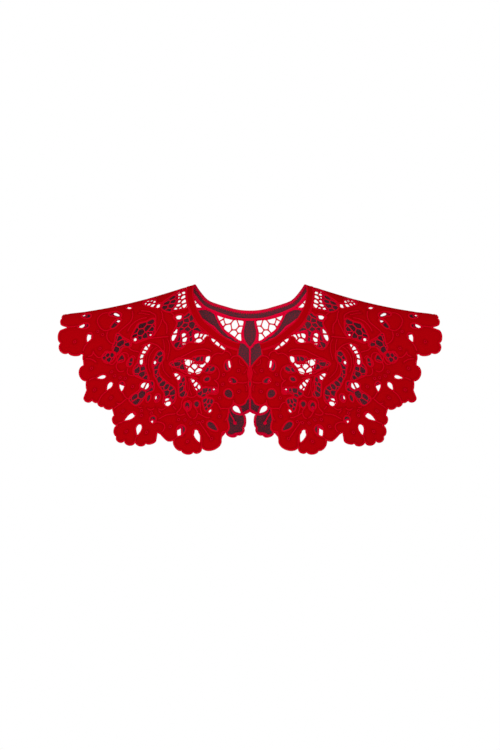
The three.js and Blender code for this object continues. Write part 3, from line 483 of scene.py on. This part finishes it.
def worn(points, lift=0.0):
    """The worn place of points on the flat lace, lifted outward off its middle surface."""
    points = np.asarray(points, float)
    across, along = points[:, 0], points[:, 1]
    step = SLOPE_STEP
    d_across = middle_surface(across + step, along) - middle_surface(across - step, along)
    d_along = middle_surface(across, along + step) - middle_surface(across, along - step)
    normal = np.cross(d_across, d_along)
    normal /= np.linalg.norm(normal, axis=1, keepdims=True)
    lift = np.broadcast_to(np.asarray(lift, float), across.shape)
    return middle_surface(across, along) + normal * lift[:, None], normal


def arc(start, end, swell):
    """Points from start towards end on a rounded arc, without the end itself."""
    start, end = np.array(start, float), np.array(end, float)
    chord = end - start
    length = np.linalg.norm(chord)
    t = np.linspace(0, 1, max(3, round(length / OUTLINE_SPACING)), endpoint=False)[:, None]
    if abs(swell) < FLAT_SWELL:
        return start + chord * t
    outward = np.array([-chord[1], chord[0]]) / length * swell * 4 / 3
    leave = start + chord * ARC_LEAN + outward
    arrive = end - chord * ARC_LEAN + outward
    return start * (1 - t) ** 3 + 3 * leave * t * (1 - t) ** 2 + 3 * arrive * t * t * (1 - t) + end * t**3


def hem_points(rows, side):
    pieces = [arc(row[:2], after[:2], row.swell) for row, after in zip(rows, rows[1:])]
    return flat_places(np.concatenate([*pieces, [rows[-1][:2]]]), side)


def catmull_rom(before, points, after, beyond):
    """Points on the smooth curve from each point towards the one after it."""
    t = np.linspace(0, 1, CURVE_STEPS, endpoint=False)[None, :, None]
    a, b, c, d = (q[:, None, :] for q in (before, points, after, beyond))
    curve = 0.5 * (2 * b + (c - a) * t + (2 * a - 5 * b + 4 * c - d) * t**2 + (3 * b - a - 3 * c + d) * t**3)
    return curve.reshape(-1, 2)


def rounded(corners):
    """A closed curve through the corners."""
    p = np.array(corners, float)
    return catmull_rom(np.roll(p, 1, 0), p, np.roll(p, -1, 0), np.roll(p, -2, 0))


def open_curve(points):
    """An open curve through the points."""
    p = np.concatenate([[2 * points[0] - points[1]], points, [2 * points[-1] - points[-2]]])
    return np.concatenate([catmull_rom(p[:-3], p[1:-2], p[2:-1], p[3:]), points[-1:]])


def eye_outline(eye):
    t = np.linspace(0, 2 * math.pi, EYE_SIDES, endpoint=False)
    narrow = 1 - eye.point * EYE_TAPER * (1 + np.cos(t)) * (0.5 + 0.5 * np.cos(t))
    u, v = np.cos(t) * eye.long / 2, np.sin(t) * eye.wide / 2 * narrow
    turn = math.radians(eye.turn)
    return np.stack([eye.out + u * math.cos(turn) - v * math.sin(turn),
                     eye.down + u * math.sin(turn) + v * math.cos(turn)], axis=-1)


def openings_of(windows, eyes, side):
    outlines = [rounded(corners) for corners in windows.values()] + [eye_outline(eye) for eye in eyes]
    return [resampled(flat_places(o, side), OUTLINE_SPACING, closed=True) for o in outlines]


def mirrored(points):
    return (np.asarray(points) * (-1, 1))[::-1]


def both_sides(outlines):
    return [outline for right in outlines for outline in (right, mirrored(right))]


def offset(points, distance, closed=False):
    """Moves a line's points to its left."""
    if closed:
        travel = np.roll(points, -1, 0) - np.roll(points, 1, 0)
    else:
        travel = np.gradient(points, axis=0)
    travel = travel / np.maximum(SMALLEST, np.linalg.norm(travel, axis=1, keepdims=True))
    distance = np.broadcast_to(distance, (len(points),))
    return points + np.stack([-travel[:, 1], travel[:, 0]], axis=-1) * distance[:, None]


def resampled(points, spacing, closed=False):
    fewest = 6 if closed else 2
    p = np.vstack([points, points[:1]]) if closed else np.asarray(points)
    length = np.concatenate([[0], np.cumsum(np.linalg.norm(np.diff(p, axis=0), axis=1))])
    t = np.linspace(0, length[-1], max(fewest, round(length[-1] / spacing)) + 1)
    if closed:
        t = t[:-1]
    return np.stack([np.interp(t, length, p[:, 0]), np.interp(t, length, p[:, 1])], axis=-1)


def inside(polygon, points):
    """Which points lie inside a polygon."""
    x, y = points[:, 0][:, None], points[:, 1][:, None]
    a, b = polygon, np.roll(polygon, -1, 0)
    crosses = (a[:, 1] > y) != (b[:, 1] > y)
    with np.errstate(divide="ignore", invalid="ignore"):
        at = a[:, 0] + (y - a[:, 1]) / (b[:, 1] - a[:, 1]) * (b[:, 0] - a[:, 0])
    return (np.sum(crosses & (x < at), axis=1) % 2).astype(bool)


def turned_left(loop):
    """The loop with its inside on its left."""
    x, y = loop.T
    return loop if np.sum(x * np.roll(y, -1) - y * np.roll(x, -1)) > 0 else loop[::-1]


def lattice(low, high, spacing, jitter, seed):
    """Staggered rows of points, each moved a little at random."""
    rng = random.Random(seed)
    rows = np.arange(low[1], high[1], spacing * ROW_STEP)
    return np.array([
        (x + (k % 2) * spacing / 2 + rng.uniform(-jitter, jitter), y + rng.uniform(-jitter, jitter))
        for k, y in enumerate(rows) for x in np.arange(low[0], high[0], spacing)
    ])


def place_tree(places):
    tree = KDTree(len(places))
    for index, place in enumerate(places):
        tree.insert((*place, 0), index)
    tree.balance()
    return tree


def distance_to(lines, points):
    """How far each flat point is from the nearest sewn line."""
    tree = place_tree(np.concatenate([resampled(line, SEAM_SAMPLING) for line in lines]))
    return np.array([tree.find((*point, 0))[2] for point in points])


def whole_runs(line, outline, openings, others, closed=False):
    """The parts of a line that lie on whole cloth, clear of its edges and of the other sewn lines."""
    clear = inside(outline, line) & (distance_to(others, line) > CLEAR_OF_EDGES)
    for opening in openings:
        clear &= ~inside(opening, line)
    if closed:
        return [line] if clear.all() else []
    runs = np.split(np.arange(len(line)), np.flatnonzero(np.diff(clear.astype(int))) + 1)
    return [line[run] for run in runs if clear[run[0]] and len(run) >= SHORTEST_RUN]


def cloth_triangles(outline, openings):
    """The flat cloth inside its outline and outside its openings."""
    outline, *openings = (turned_left(loop) for loop in (outline, *openings))
    inner = lattice(outline.min(axis=0), outline.max(axis=0), POINT_SPACING, POINT_JITTER, seed=4)
    keep = inside(outline, inner)
    for opening in openings:
        near = np.all((inner > opening.min(axis=0)) & (inner < opening.max(axis=0)), axis=1) & keep
        keep[near] = ~inside(opening, inner[near])
    loops = [outline, *openings]
    points = np.concatenate([*loops, inner[keep]])
    faces, start = [], 0
    for loop in loops:
        faces.append(list(range(start, start + len(loop))))
        start += len(loop)
    made = delaunay_2d_cdt([Vector(p) for p in points], [], faces, 1, MERGE_DISTANCE)
    places = np.array([(v.x, v.y) for v in made[0]])
    triangles = np.array([face for face, owners in zip(made[2], made[5]) if owners == [0]])
    used = np.unique(triangles)
    renumber = np.zeros(len(places), int)
    renumber[used] = np.arange(len(used))
    return places[used], renumber[triangles]


def flat_area(points, triangles):
    """The area of flat cloth in square metres."""
    a, b, c = (points[triangles[:, corner]] for corner in range(3))
    (ux, uy), (vx, vy) = (b - a).T, (c - a).T
    return float(0.5 * np.abs(ux * vy - uy * vx).sum() * MM * MM)


def boundary_loops(points, triangles):
    """The closed edges of a set of triangles, each with the cloth on its left."""
    edges = {(int(a), int(b)) for t in triangles for a, b in zip(t, np.roll(t, -1))}
    after = defaultdict(list)
    for a, b in sorted(edges):
        if (b, a) not in edges:
            after[a].append(b)
    loops = []
    while after:
        first = previous = next(iter(after))
        loop, point = [first], after[first].pop()
        while point != first:
            loop.append(point)
            back = math.atan2(*(points[previous] - points[point])[::-1])
            ways = [math.atan2(*(points[q] - points[point])[::-1]) for q in after[point]]
            turns = [(back - way) % (2 * math.pi) for way in ways]
            previous, point = point, after[point].pop(turns.index(min(turns)))
        loops.append(loop)
        after = defaultdict(list, {a: b for a, b in after.items() if b})
    return loops


def cell_walls(centres):
    """The walls between the net's cells, which grow round their centres until they meet."""
    made = delaunay_2d_cdt([Vector(p) for p in centres], [], [], 0, MERGE_DISTANCE)
    corners = np.array([made[0][v] for face in made[2] for v in face]).reshape(-1, 3, 2)
    a, b, c = corners[:, 0], corners[:, 1] - corners[:, 0], corners[:, 2] - corners[:, 0]
    twice = 2 * (b[:, 0] * c[:, 1] - b[:, 1] * c[:, 0])
    bb, cc = (b * b).sum(axis=1), (c * c).sum(axis=1)
    reach = np.stack([c[:, 1] * bb - b[:, 1] * cc, b[:, 0] * cc - c[:, 0] * bb], axis=-1)
    round_middle = a + reach / twice[:, None]
    joints = CELL_ROUNDNESS * round_middle + (1 - CELL_ROUNDNESS) * corners.mean(axis=1)
    by_edge = defaultdict(list)
    for index, face in enumerate(made[2]):
        for p, q in zip(face, face[1:] + face[:1]):
            by_edge[min(p, q), max(p, q)].append(index)
    return joints[np.array([pair for pair in by_edge.values() if len(pair) == 2])]


def net_bars(windows, middles, cell, seed):
    """The bars that cross the windows, between cells with the given middles and others around them."""
    corners, margin = np.concatenate(windows), NET_MARGIN * cell
    low, high = corners.min(axis=0) - margin, corners.max(axis=0) + margin
    others = lattice(low, high, cell, NET_JITTER * cell, seed)
    near = np.linalg.norm(others[:, None, :] - middles[None, :, :], axis=2).min(axis=1)
    free = near > cell * CELL_CLEARANCE
    for window in windows:
        free &= ~inside(window, others)
    bars = cell_walls(np.concatenate([middles, others[free]]))
    steps = np.linspace(0, 1, BAR_STEPS)[:, None]
    kept = []
    for window in windows:
        reaches = (bars.max(axis=1) > window.min(axis=0)) & (bars.min(axis=1) < window.max(axis=0))
        for start, end in bars[np.all(reaches, axis=1)]:
            line = start + (end - start) * steps
            within = np.flatnonzero(inside(window, line))
            if len(within) >= 2:
                kept.append(line[max(0, within[0] - 1): within[-1] + 2])
    return kept


def add_object(name, data):
    made = bpy.data.objects.new(name, data)
    bpy.context.collection.objects.link(made)
    return made


class Builder:
    """Collects vertices, faces, a flat coordinate for the weave, and a material for each face."""

    def __init__(self):
        self.vertices, self.coordinates, self.faces, self.slots = [], [], [], []
        self.count = 0

    def add(self, vertices, coordinates, faces, slots):
        self.vertices.append(np.asarray(vertices, float))
        self.coordinates.append(np.asarray(coordinates, float))
        self.faces.extend((np.asarray(faces) + self.count).tolist())
        self.slots.extend(np.broadcast_to(slots, len(faces)).tolist())
        self.count += len(vertices)

    def build(self, name, materials):
        mesh = bpy.data.meshes.new(name)
        mesh.from_pydata((np.concatenate(self.vertices) * MM).tolist(), [], self.faces)
        for material in materials:
            mesh.materials.append(material)
        mesh.polygons.foreach_set("material_index", self.slots)
        mesh.polygons.foreach_set("use_smooth", [True] * len(self.faces))
        layer = mesh.uv_layers.new(name="flat_place")
        loops = np.empty(len(mesh.loops), int)
        mesh.loops.foreach_get("vertex_index", loops)
        layer.data.foreach_set("uv", np.concatenate(self.coordinates)[loops].ravel())
        mesh.update()
        return add_object(name, mesh)


def add_tube(builder, line, width, height, closed=False, lift=0.0, sides=8, slots=(0, 1), taper=True):
    """A sewn cord along a line on the flat lace, as wide and as high as its half sizes say."""
    centre, normal = worn(line, lift)
    tangent = np.roll(centre, -1, 0) - np.roll(centre, 1, 0) if closed else np.gradient(centre, axis=0)
    tangent /= np.maximum(SMALLEST, np.linalg.norm(tangent, axis=1, keepdims=True))
    sideways = np.cross(normal, tangent)
    sideways /= np.linalg.norm(sideways, axis=1, keepdims=True)
    count = len(line)
    width, height = (np.broadcast_to(half, (count,))[:, None, None] for half in (width, height))
    size = np.ones(count)
    if not closed and taper:
        size[[0, -1]] = CORD_END
    side = np.arange(sides)
    angles = (side + 0.5) / sides * 2 * math.pi
    ring = (np.cos(angles)[None, :, None] * sideways[:, None, :] * width
            + np.sin(angles)[None, :, None] * normal[:, None, :] * height) * size[:, None, None]
    gaps = np.linalg.norm(np.diff(centre, axis=0), axis=1)
    along = np.concatenate([[0], np.cumsum(gaps)])
    coordinates = np.broadcast_arrays(along[:, None], angles[None, :] * width[:, :, 0])
    last = count if closed else count - 1
    here = np.arange(last)[:, None] * sides
    after, beside = (here + sides) % (count * sides), (side + 1) % sides
    faces = np.stack([after + side, after + beside, here + beside, here + side], axis=-1)
    outer = np.broadcast_to(np.sin((side + 1.0) / sides * 2 * math.pi) > -SMALLEST, (last, sides)).ravel()
    builder.add((centre[:, None, :] + ring).reshape(-1, 3), np.stack(coordinates, axis=-1).reshape(-1, 2),
                faces.reshape(-1, 4), np.where(outer, *slots))
    if not closed:
        start = builder.count - count * sides
        builder.faces.append(list(range(start, start + sides)))
        builder.faces.append(list(range(builder.count - 1, builder.count - 1 - sides, -1)))
        builder.slots.extend([slots[0]] * 2)


def add_cloth(builder, points, triangles, thickness, puff, outer_puff):
    """Cloth with an outer face, an inner face and its cut edges, each in a material of its own."""
    outer, _ = worn(points, outer_puff + thickness / 2)
    inner, _ = worn(points, puff - thickness / 2)
    below = len(points)
    walls = [
        (a, a + below, b + below, b)
        for loop in boundary_loops(points, triangles) for a, b in zip(loop, loop[1:] + loop[:1])
    ]
    builder.add(np.concatenate([outer, inner]), np.concatenate([points, points]), triangles, 0)
    start = builder.count - 2 * below
    builder.faces.extend((triangles[:, ::-1] + below + start).tolist())
    builder.faces.extend((np.array(walls) + start).tolist())
    builder.slots.extend([1] * len(triangles) + [2] * len(walls))


# Materials
# SEAM_SHADE is painted shade: the cloth colour is painted up to this much darker beside the sewn lines, the
# edges and the rings
SEAM_SHADE = 0.3
CLOTH_LIGHTNESS = 0.62


def linear(*screen):
    """The base colour that shows on the screen with these 8-bit values, under this light."""
    shares = [value / 255 for value in screen]
    channels = [s / 12.92 if s <= 0.04045 else ((s + 0.055) / 1.055) ** 2.4 for s in shares]
    return tuple(channel * CLOTH_LIGHTNESS for channel in channels)


def set_inputs(owner, node, inputs):
    """Sets each input to a value, or links it where it is given another node's output."""
    for key, value in inputs.items():
        if isinstance(value, bpy.types.NodeSocket):
            owner.node_tree.links.new(value, node.inputs[key])
        else:
            node.inputs[key].default_value = value


def add_node(material, kind, inputs, **settings):
    node = material.node_tree.nodes.new("ShaderNode" + kind)
    for name, value in settings.items():
        setattr(node, name, value)
    set_inputs(material, node, inputs)
    return node


def new_material(name, roughness, specular=0.0):
    material = bpy.data.materials.new(name)
    material.use_nodes = True
    shader = material.node_tree.nodes["Principled BSDF"]
    set_inputs(material, shader, {"Roughness": roughness, "Specular IOR Level": specular})
    return material, shader


def ramp(material, factor, stops):
    node = add_node(material, "ValToRGB", {"Fac": factor})
    while len(node.color_ramp.elements) < len(stops):
        node.color_ramp.elements.new(0.5)
    for element, (place, colour) in zip(node.color_ramp.elements, stops):
        element.position = place
        element.color = (*colour, 1)
    return node.outputs["Color"]


def bumped(material, height, strength, distance):
    inputs = {"Height": height, "Strength": strength, "Distance": distance}
    return add_node(material, "Bump", inputs).outputs["Normal"]


def flat_place(material):
    return add_node(material, "UVMap", {}, uv_map="flat_place").outputs["UV"]


def threads(material, place, thread, direction, distortion, detail):
    """Threads side by side, each as wide as thread says."""
    inputs = {"Vector": place, "Scale": 1 / thread / 2, "Distortion": distortion, "Detail": detail}
    return add_node(material, "TexWave", inputs, bands_direction=direction).outputs["Fac"]


def cloth_material(name, colours, grain, weave_depth, thread=0.55):
    """Woven cloth: a plain weave for the bump, and flecks for the colour, with painted shade beside a seam.
    """
    material, shader = new_material(name, 0.9)
    place = flat_place(material)
    inputs = {"Vector": place, "Scale": grain, "Detail": 6, "Roughness": 0.75}
    flecks = add_node(material, "TexNoise", inputs).outputs["Fac"]
    tint = ramp(material, flecks, colours)
    warp, weft = (threads(material, place, thread, direction, 1.2, 1) for direction in "XY")
    weave = add_node(material, "Math", {0: warp, 1: weft}, operation="MULTIPLY").outputs["Value"]
    inputs = {"Factor": 0.22, "A": tint, "B": weave}
    shade = add_node(material, "Mix", inputs, data_type="RGBA", blend_type="MULTIPLY").outputs["Result"]
    # Painted shade: the seam attribute darkens the cloth colour beside the cords, where their shade would
    # fall
    seam = add_node(material, "Attribute", {}, attribute_name="seam").outputs["Fac"]
    inputs = {0: seam, 1: -SEAM_SHADE, 2: 1.0}
    painted_shade_factor = add_node(material, "Math", inputs, operation="MULTIPLY_ADD").outputs["Value"]
    shaded = add_node(material, "VectorMath", {0: shade, "Scale": painted_shade_factor}, operation="SCALE").outputs["Vector"]
    set_inputs(material, shader, {
        "Base Color": shaded,
        "Normal": bumped(material, weave, weave_depth, 0.0003),
        "Sheen Weight": 0.03,
        "Sheen Roughness": 0.5,
        "Sheen Tint": (*colours[-1][1], 1),
    })
    return material


def thread_material(name, dark, light, stitch=0.45):
    """Satin stitch: threads laid across the cord, side by side."""
    material, shader = new_material(name, 0.5)
    stitches = threads(material, flat_place(material), stitch, "X", 2.0, 2)
    set_inputs(material, shader, {
        "Base Color": ramp(material, stitches, [(0.0, dark), (1.0, light)]),
        "Normal": bumped(material, stitches, 0.5, 0.0002),
        "Sheen Weight": 0.1,
        "Sheen Tint": (*light, 1),
    })
    return material


def painted_metal(name, colour, roughness):
    """Paint with a fine grain, worn a little lighter in places."""
    material, shader = new_material(name, roughness, specular=0.4)
    place = add_node(material, "TexCoord", {}).outputs["Object"]
    grain = add_node(material, "TexNoise", {"Vector": place, "Scale": 900, "Detail": 4}).outputs["Fac"]
    set_inputs(material, shader, {
        "Base Color": ramp(material, grain, [(0.3, colour), (0.75, tuple(2.2 * c for c in colour))]),
        "Normal": bumped(material, grain, 0.25, 0.0001),
    })
    return material


REDS = [(0.3, linear(161, 0, 8)), (0.52, linear(177, 0, 10)), (0.72, linear(194, 1, 14))]
PLUMS = [(0.42, linear(68, 54, 62)), (0.5, linear(100, 50, 58)), (0.6, linear(150, 34, 56))]
RED_CLOTH = cloth_material("red_cloth", REDS, grain=0.9, weave_depth=0.5)
PLUM_CLOTH = cloth_material("plum_melange", PLUMS, grain=0.6, weave_depth=0.4)
OUTER_THREAD = thread_material("crimson_thread_outer", linear(176, 0, 16), linear(206, 1, 32))
INNER_THREAD = thread_material("crimson_thread_inner", linear(230, 0, 44), linear(253, 5, 66))
NET_THREAD = thread_material("crimson_thread_net", linear(192, 0, 26), linear(222, 2, 44))
RING_THREAD = thread_material("crimson_thread_ring", linear(186, 0, 20), linear(214, 0, 38))

# The neck band's two edges, flat, from one front end round the back to the other
half_inner = np.concatenate(
    [flat_places(FRONT_NECKLINE, FRONT), [(BAND_CORNER, 0)], flat_places(BACK_NECKLINE, BACK)])
neckline = np.concatenate([half_inner, [flat(0, BACK_NECK_DROP, BACK)], mirrored(half_inner)])
inner_edge = resampled(open_curve(neckline), BAND_SPACING)
swelling = np.clip((inner_edge[:, 1] - BAND_SWELL_START) / BAND_SWELL_LENGTH, 0, 1) ** 2
band_width = BAND_WIDTH_FRONT + (BAND_WIDTH_BACK - BAND_WIDTH_FRONT) * swelling
outer_edge = offset(inner_edge, -band_width)

# Outline of the whole lace, flat: the hem from one front end to the other, and back along the band
half_hem = np.concatenate([hem_points(FRONT_HEM, FRONT), hem_points(BACK_HEM, BACK)[::-1]])
lace_outline = np.concatenate([half_hem, mirrored(half_hem)[1:], outer_edge[::-1]])
front_openings = both_sides(openings_of(FRONT_WINDOWS, FRONT_EYES, FRONT))
back_openings = both_sides(openings_of({**NECK_WINDOWS, **BACK_WINDOWS}, BACK_EYES, BACK))
flat_points, triangles = cloth_triangles(lace_outline, [*front_openings, *back_openings])
edge_loops = [flat_points[loop] for loop in boundary_loops(flat_points, triangles)]

# Sewn lines and rings
sewn_lines = [
    (resampled(open_curve(flat_places(cord.places, side)), CORD_SPACING), cord.width)
    for side, cords in ((FRONT, FRONT_CORDS), (BACK, BACK_CORDS)) for cord in cords
]
sewn_lines += [(mirrored(line), width) for line, width in sewn_lines if line[:, 0].any()]
around = np.linspace(0, 2 * math.pi, RING_SIDES, endpoint=False)
ring_shape = RING_RADIUS * np.stack([np.cos(around), np.sin(around)], axis=-1)
ring_circles = both_sides([flat(*middle, FRONT) + ring_shape for middle in FRONT_RINGS])

# The outer face of the back has the same sewn lines and rings as the fronts, where its cloth is whole
others = edge_loops + [line for line, _ in sewn_lines]
back_lines = []
for cord in FRONT_CORDS:
    line = resampled(open_curve(flat_places(cord.places, BACK)), CORD_SPACING)
    back_lines += [(run, cord.width) for run in whole_runs(line, lace_outline, back_openings, others)]
back_lines += [(mirrored(line), width) for line, width in back_lines]
back_rings = []
for middle in FRONT_RINGS:
    circle = flat(*middle, BACK) + ring_shape
    back_rings += whole_runs(circle, lace_outline, back_openings, others, closed=True)
back_rings = both_sides(back_rings)

# Lace cloth, which puffs up away from its seams, with grooves under the back's outer lines
from_seam = distance_to([line for line, _ in sewn_lines] + edge_loops + ring_circles, flat_points)
from_groove = distance_to([line for line, _ in back_lines] + back_rings, flat_points)
puff = PUFF_HEIGHT * (1 - np.exp(-(from_seam / PUFF_REACH) ** 2))
outer_puff = puff - GROOVE_DEPTH * np.exp(-(from_groove / SEAM_REACH) ** 2)
lace = Builder()
add_cloth(lace, flat_points, triangles, CLOTH_THICKNESS, puff, outer_puff)
lace_cloth = lace.build("lace_cloth", [RED_CLOTH, PLUM_CLOTH, INNER_THREAD])
# Painted shade: the seam attribute, which darkens the cloth colour on both faces beside the sewn lines, the
# edges and the rings, and on the back's outer face beside its grooves
painted_shade_distance = np.concatenate([np.minimum(from_seam, from_groove), from_seam])
painted_shade_layer = lace_cloth.data.attributes.new("seam", "FLOAT", "POINT")
painted_shade_layer.data.foreach_set("value", np.exp(-(painted_shade_distance / SEAM_REACH) ** 2))

# Cords round the hem and every window
edges = Builder()
hem = max(edge_loops, key=len)
for loop in edge_loops:
    line = resampled(loop, CORD_SPACING, closed=True)
    at_back = line[:, 1] > 0
    width = np.where(at_back, EDGE_WIDTH_BACK, EDGE_WIDTH_FRONT)
    overhang = np.where(at_back, WINDOW_OVERHANG_BACK, WINDOW_OVERHANG_FRONT)
    if loop is hem:
        overhang = HEM_OVERHANG
    add_tube(edges, offset(line, width - overhang, closed=True), width, EDGE_HEIGHT, closed=True)
edge_cords = edges.build("edge_cords", [OUTER_THREAD, INNER_THREAD])

# Net in the windows that hold the middle of a cell
net = Builder()
for side, windows, cells, cell, width, seed in (
    (FRONT, FRONT_WINDOWS, FRONT_CELLS, NET_CELL, NET_BAR, 3),
    (BACK, NECK_WINDOWS, BACK_CELLS, BACK_NET_CELL, NECK_NET_BAR, 8),
    (BACK, BACK_WINDOWS, FRONT_CELLS, BACK_NET_CELL, BACK_NET_BAR, 8),
):
    middles = flat_places(cells, side)
    outlines = [outline for outline in openings_of(windows, [], side) if inside(outline, middles).any()]
    for line in both_sides(net_bars(outlines, middles, cell, seed)):
        line = resampled(line, CORD_SPACING)
        knots = width * (1 + (NET_KNOT - 1) * np.abs(np.linspace(-1, 1, len(line))) ** 3)
        add_tube(net, line, knots, knots, sides=6, taper=False)
net_cords = net.build("net_bars", [NET_THREAD, INNER_THREAD])

# Sewn lines over the cloth
surface = place_tree(flat_points)


def outer_lift(line):
    """How far the outer face stands off the middle surface along a line."""
    return outer_puff[[surface.find((*point, 0))[1] for point in line]] + CLOTH_THICKNESS / 2


lines = Builder()
for line, width in sewn_lines:
    add_tube(lines, line, width, CORD_HEIGHT)
for line, width in back_lines:
    add_tube(lines, line, width, GROOVE_CORD, lift=outer_lift(line), slots=(0, 0))
motif_cords = lines.build("motif_cords", [OUTER_THREAD, INNER_THREAD])

# Neck band: plain cloth, with a cord along each edge and a zigzag stitch inside at the back
band = Builder()
strip = np.array([inner_edge * (1 - t) + outer_edge * t for t in np.linspace(0, 1, BAND_ROWS)])
index = np.arange(strip[:, :, 0].size).reshape(BAND_ROWS, -1)
quads = np.stack([index[:-1, :-1], index[1:, :-1], index[1:, 1:], index[:-1, 1:]], axis=-1).reshape(-1, 4)
band_triangles = np.concatenate([quads[:, [0, 1, 2]], quads[:, [0, 2, 3]]])
add_cloth(band, strip.reshape(-1, 2), band_triangles, BAND_THICKNESS, 0.0, 0.0)
neck_band = band.build("neck_band_cloth", [RED_CLOTH, PLUM_CLOTH, INNER_THREAD])

trim = Builder()
behind = smooth_step(inner_edge[:, 1] / TRIM_BLEND_LENGTH + 0.5)
trim_width = TRIM_WIDTH_FRONT + (TRIM_WIDTH_BACK - TRIM_WIDTH_FRONT) * behind
trim_line = offset(inner_edge, TRIM_OVERHANG - trim_width)
at_back = inner_edge[:, 1] > 0
turns = np.flatnonzero(np.diff(at_back.astype(int))) + 1
for run, thread in zip(np.split(np.arange(len(inner_edge)), turns), (0, 1, 0)):
    run = slice(max(0, run[0] - 1), run[-1] + 2)
    add_tube(trim, trim_line[run], trim_width[run], TRIM_HEIGHT, slots=(thread, 1), taper=False)
seam_line = offset(outer_edge, SEAM_WIDTH_FRONT * (1 - behind))
add_tube(trim, seam_line, np.interp(inner_edge[:, 1], *zip(*SEAM_WIDTHS)), SEAM_HEIGHT)
aside = np.abs(inner_edge[at_back, 0]) / NECK_HALF_WIDTH
zigzag_offset = ZIGZAG_OFFSET_MIDDLE + (ZIGZAG_OFFSET_SIDE - ZIGZAG_OFFSET_MIDDLE) * aside
zigzag = resampled(offset(inner_edge[at_back], -zigzag_offset), ZIGZAG_PITCH / 2)
zigzag = offset(zigzag, ZIGZAG_DEPTH * (-1.0) ** np.arange(len(zigzag)))
add_tube(trim, zigzag, ZIGZAG_WIDTH, ZIGZAG_HEIGHT, lift=ZIGZAG_LIFT, slots=(1, 1))
band_cords = trim.build("band_cords", [OUTER_THREAD, INNER_THREAD])

# The hidden hook and eye, with the loops of thread that hold its plate to the inner faces
hook_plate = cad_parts["front_hook"]
hook_plate.material_slots[0].material = painted_metal("black_hook_paint", (0.012, 0.008, 0.009), 0.42)
hook_middle = flat(0, HOOK_DOWN, FRONT)
stitches = Builder()
for x in (-HOOK_STITCH_OUT, HOOK_STITCH_OUT):
    for y in np.linspace(-HOOK_STITCH_SPREAD, HOOK_STITCH_SPREAD, HOOK_STITCHES):
        reach = math.copysign(HOOK_STITCH_LENGTH, x)
        loop = hook_middle + [(x + reach * part, y) for part in np.linspace(0, 1, len(HOOK_STITCH_LIFT))]
        add_tube(stitches, loop, FINE / 2, FINE / 2, lift=HOOK_STITCH_LIFT, slots=(0, 0))
hook_stitches = stitches.build("hook_stitches", [INNER_THREAD])

# Small rings sewn on the cloth
rings = Builder()
for circle in ring_circles:
    add_tube(rings, circle, RING_CORD, RING_HEIGHT, closed=True, sides=6)
for circle in back_rings:
    lift = outer_lift(circle)
    add_tube(rings, circle, RING_CORD, GROOVE_CORD, closed=True, lift=lift, sides=6, slots=(0, 0))
eyelet_rings = rings.build("eyelet_rings", [RING_THREAD, INNER_THREAD])

# Each piece rides on the root, the imported pieces that they replace are hidden, and the flat areas of the
# lace and the band are worked out
for piece in (lace_cloth, edge_cords, net_cords, motif_cords, neck_band, band_cords, eyelet_rings,
              hook_stitches):
    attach(piece, "root")
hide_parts("front_panel_left", "front_panel_right", "back_panel")
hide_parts("neck_band")
flat_area(flat_points, triangles)
flat_area(strip.reshape(-1, 2), band_triangles)

# Camera, light and floor, in metres
FRAME_HEIGHT = 0.9375
FRAME_MIDDLE = -0.1122
CAMERA_DISTANCE = 3.0
KEY_PLACE = (-0.35, -2.4, 0.7)
KEY_AIM = (0.35, 2.4, -0.8)
KEY_SIZE = 0.9
KEY_ENERGY = 60
FLOOR_REACH = 8
FLOOR_HEIGHT = -0.75

camera_data = bpy.data.cameras.new("camera")
camera_data.type = "ORTHO"
camera_data.ortho_scale = FRAME_HEIGHT
camera = add_object("camera", camera_data)
camera.location = (0, -CAMERA_DISTANCE, FRAME_MIDDLE)
camera.rotation_euler = (math.pi / 2, 0, 0)
bpy.context.scene.camera = camera

world = bpy.data.worlds.new("studio")
world.use_nodes = True
set_inputs(world, world.node_tree.nodes["Background"], {"Color": (1, 1, 1, 1), "Strength": 1.0})
bpy.context.scene.world = world
bpy.context.scene.view_settings.view_transform = "Standard"

key_data = bpy.data.lights.new("key", "AREA")
key_data.size = KEY_SIZE
key_data.energy = KEY_ENERGY
key = add_object("key", key_data)
key.location = KEY_PLACE
key.rotation_euler = Vector(KEY_AIM).to_track_quat("-Z", "Y").to_euler()

floor_corners = [
    (x * FLOOR_REACH, y * FLOOR_REACH, FLOOR_HEIGHT) for x, y in ((-1, -1), (1, -1), (1, 1), (-1, 1))
]
floor_mesh = bpy.data.meshes.new("floor")
floor_mesh.from_pydata(floor_corners, [], [(0, 1, 2, 3)])
floor = add_object("floor", floor_mesh)
floor_material, floor_shader = new_material("pale_floor", 0.8)
set_inputs(floor_material, floor_shader, {"Base Color": (0.9, 0.9, 0.9, 1)})
floor_mesh.materials.append(floor_material)
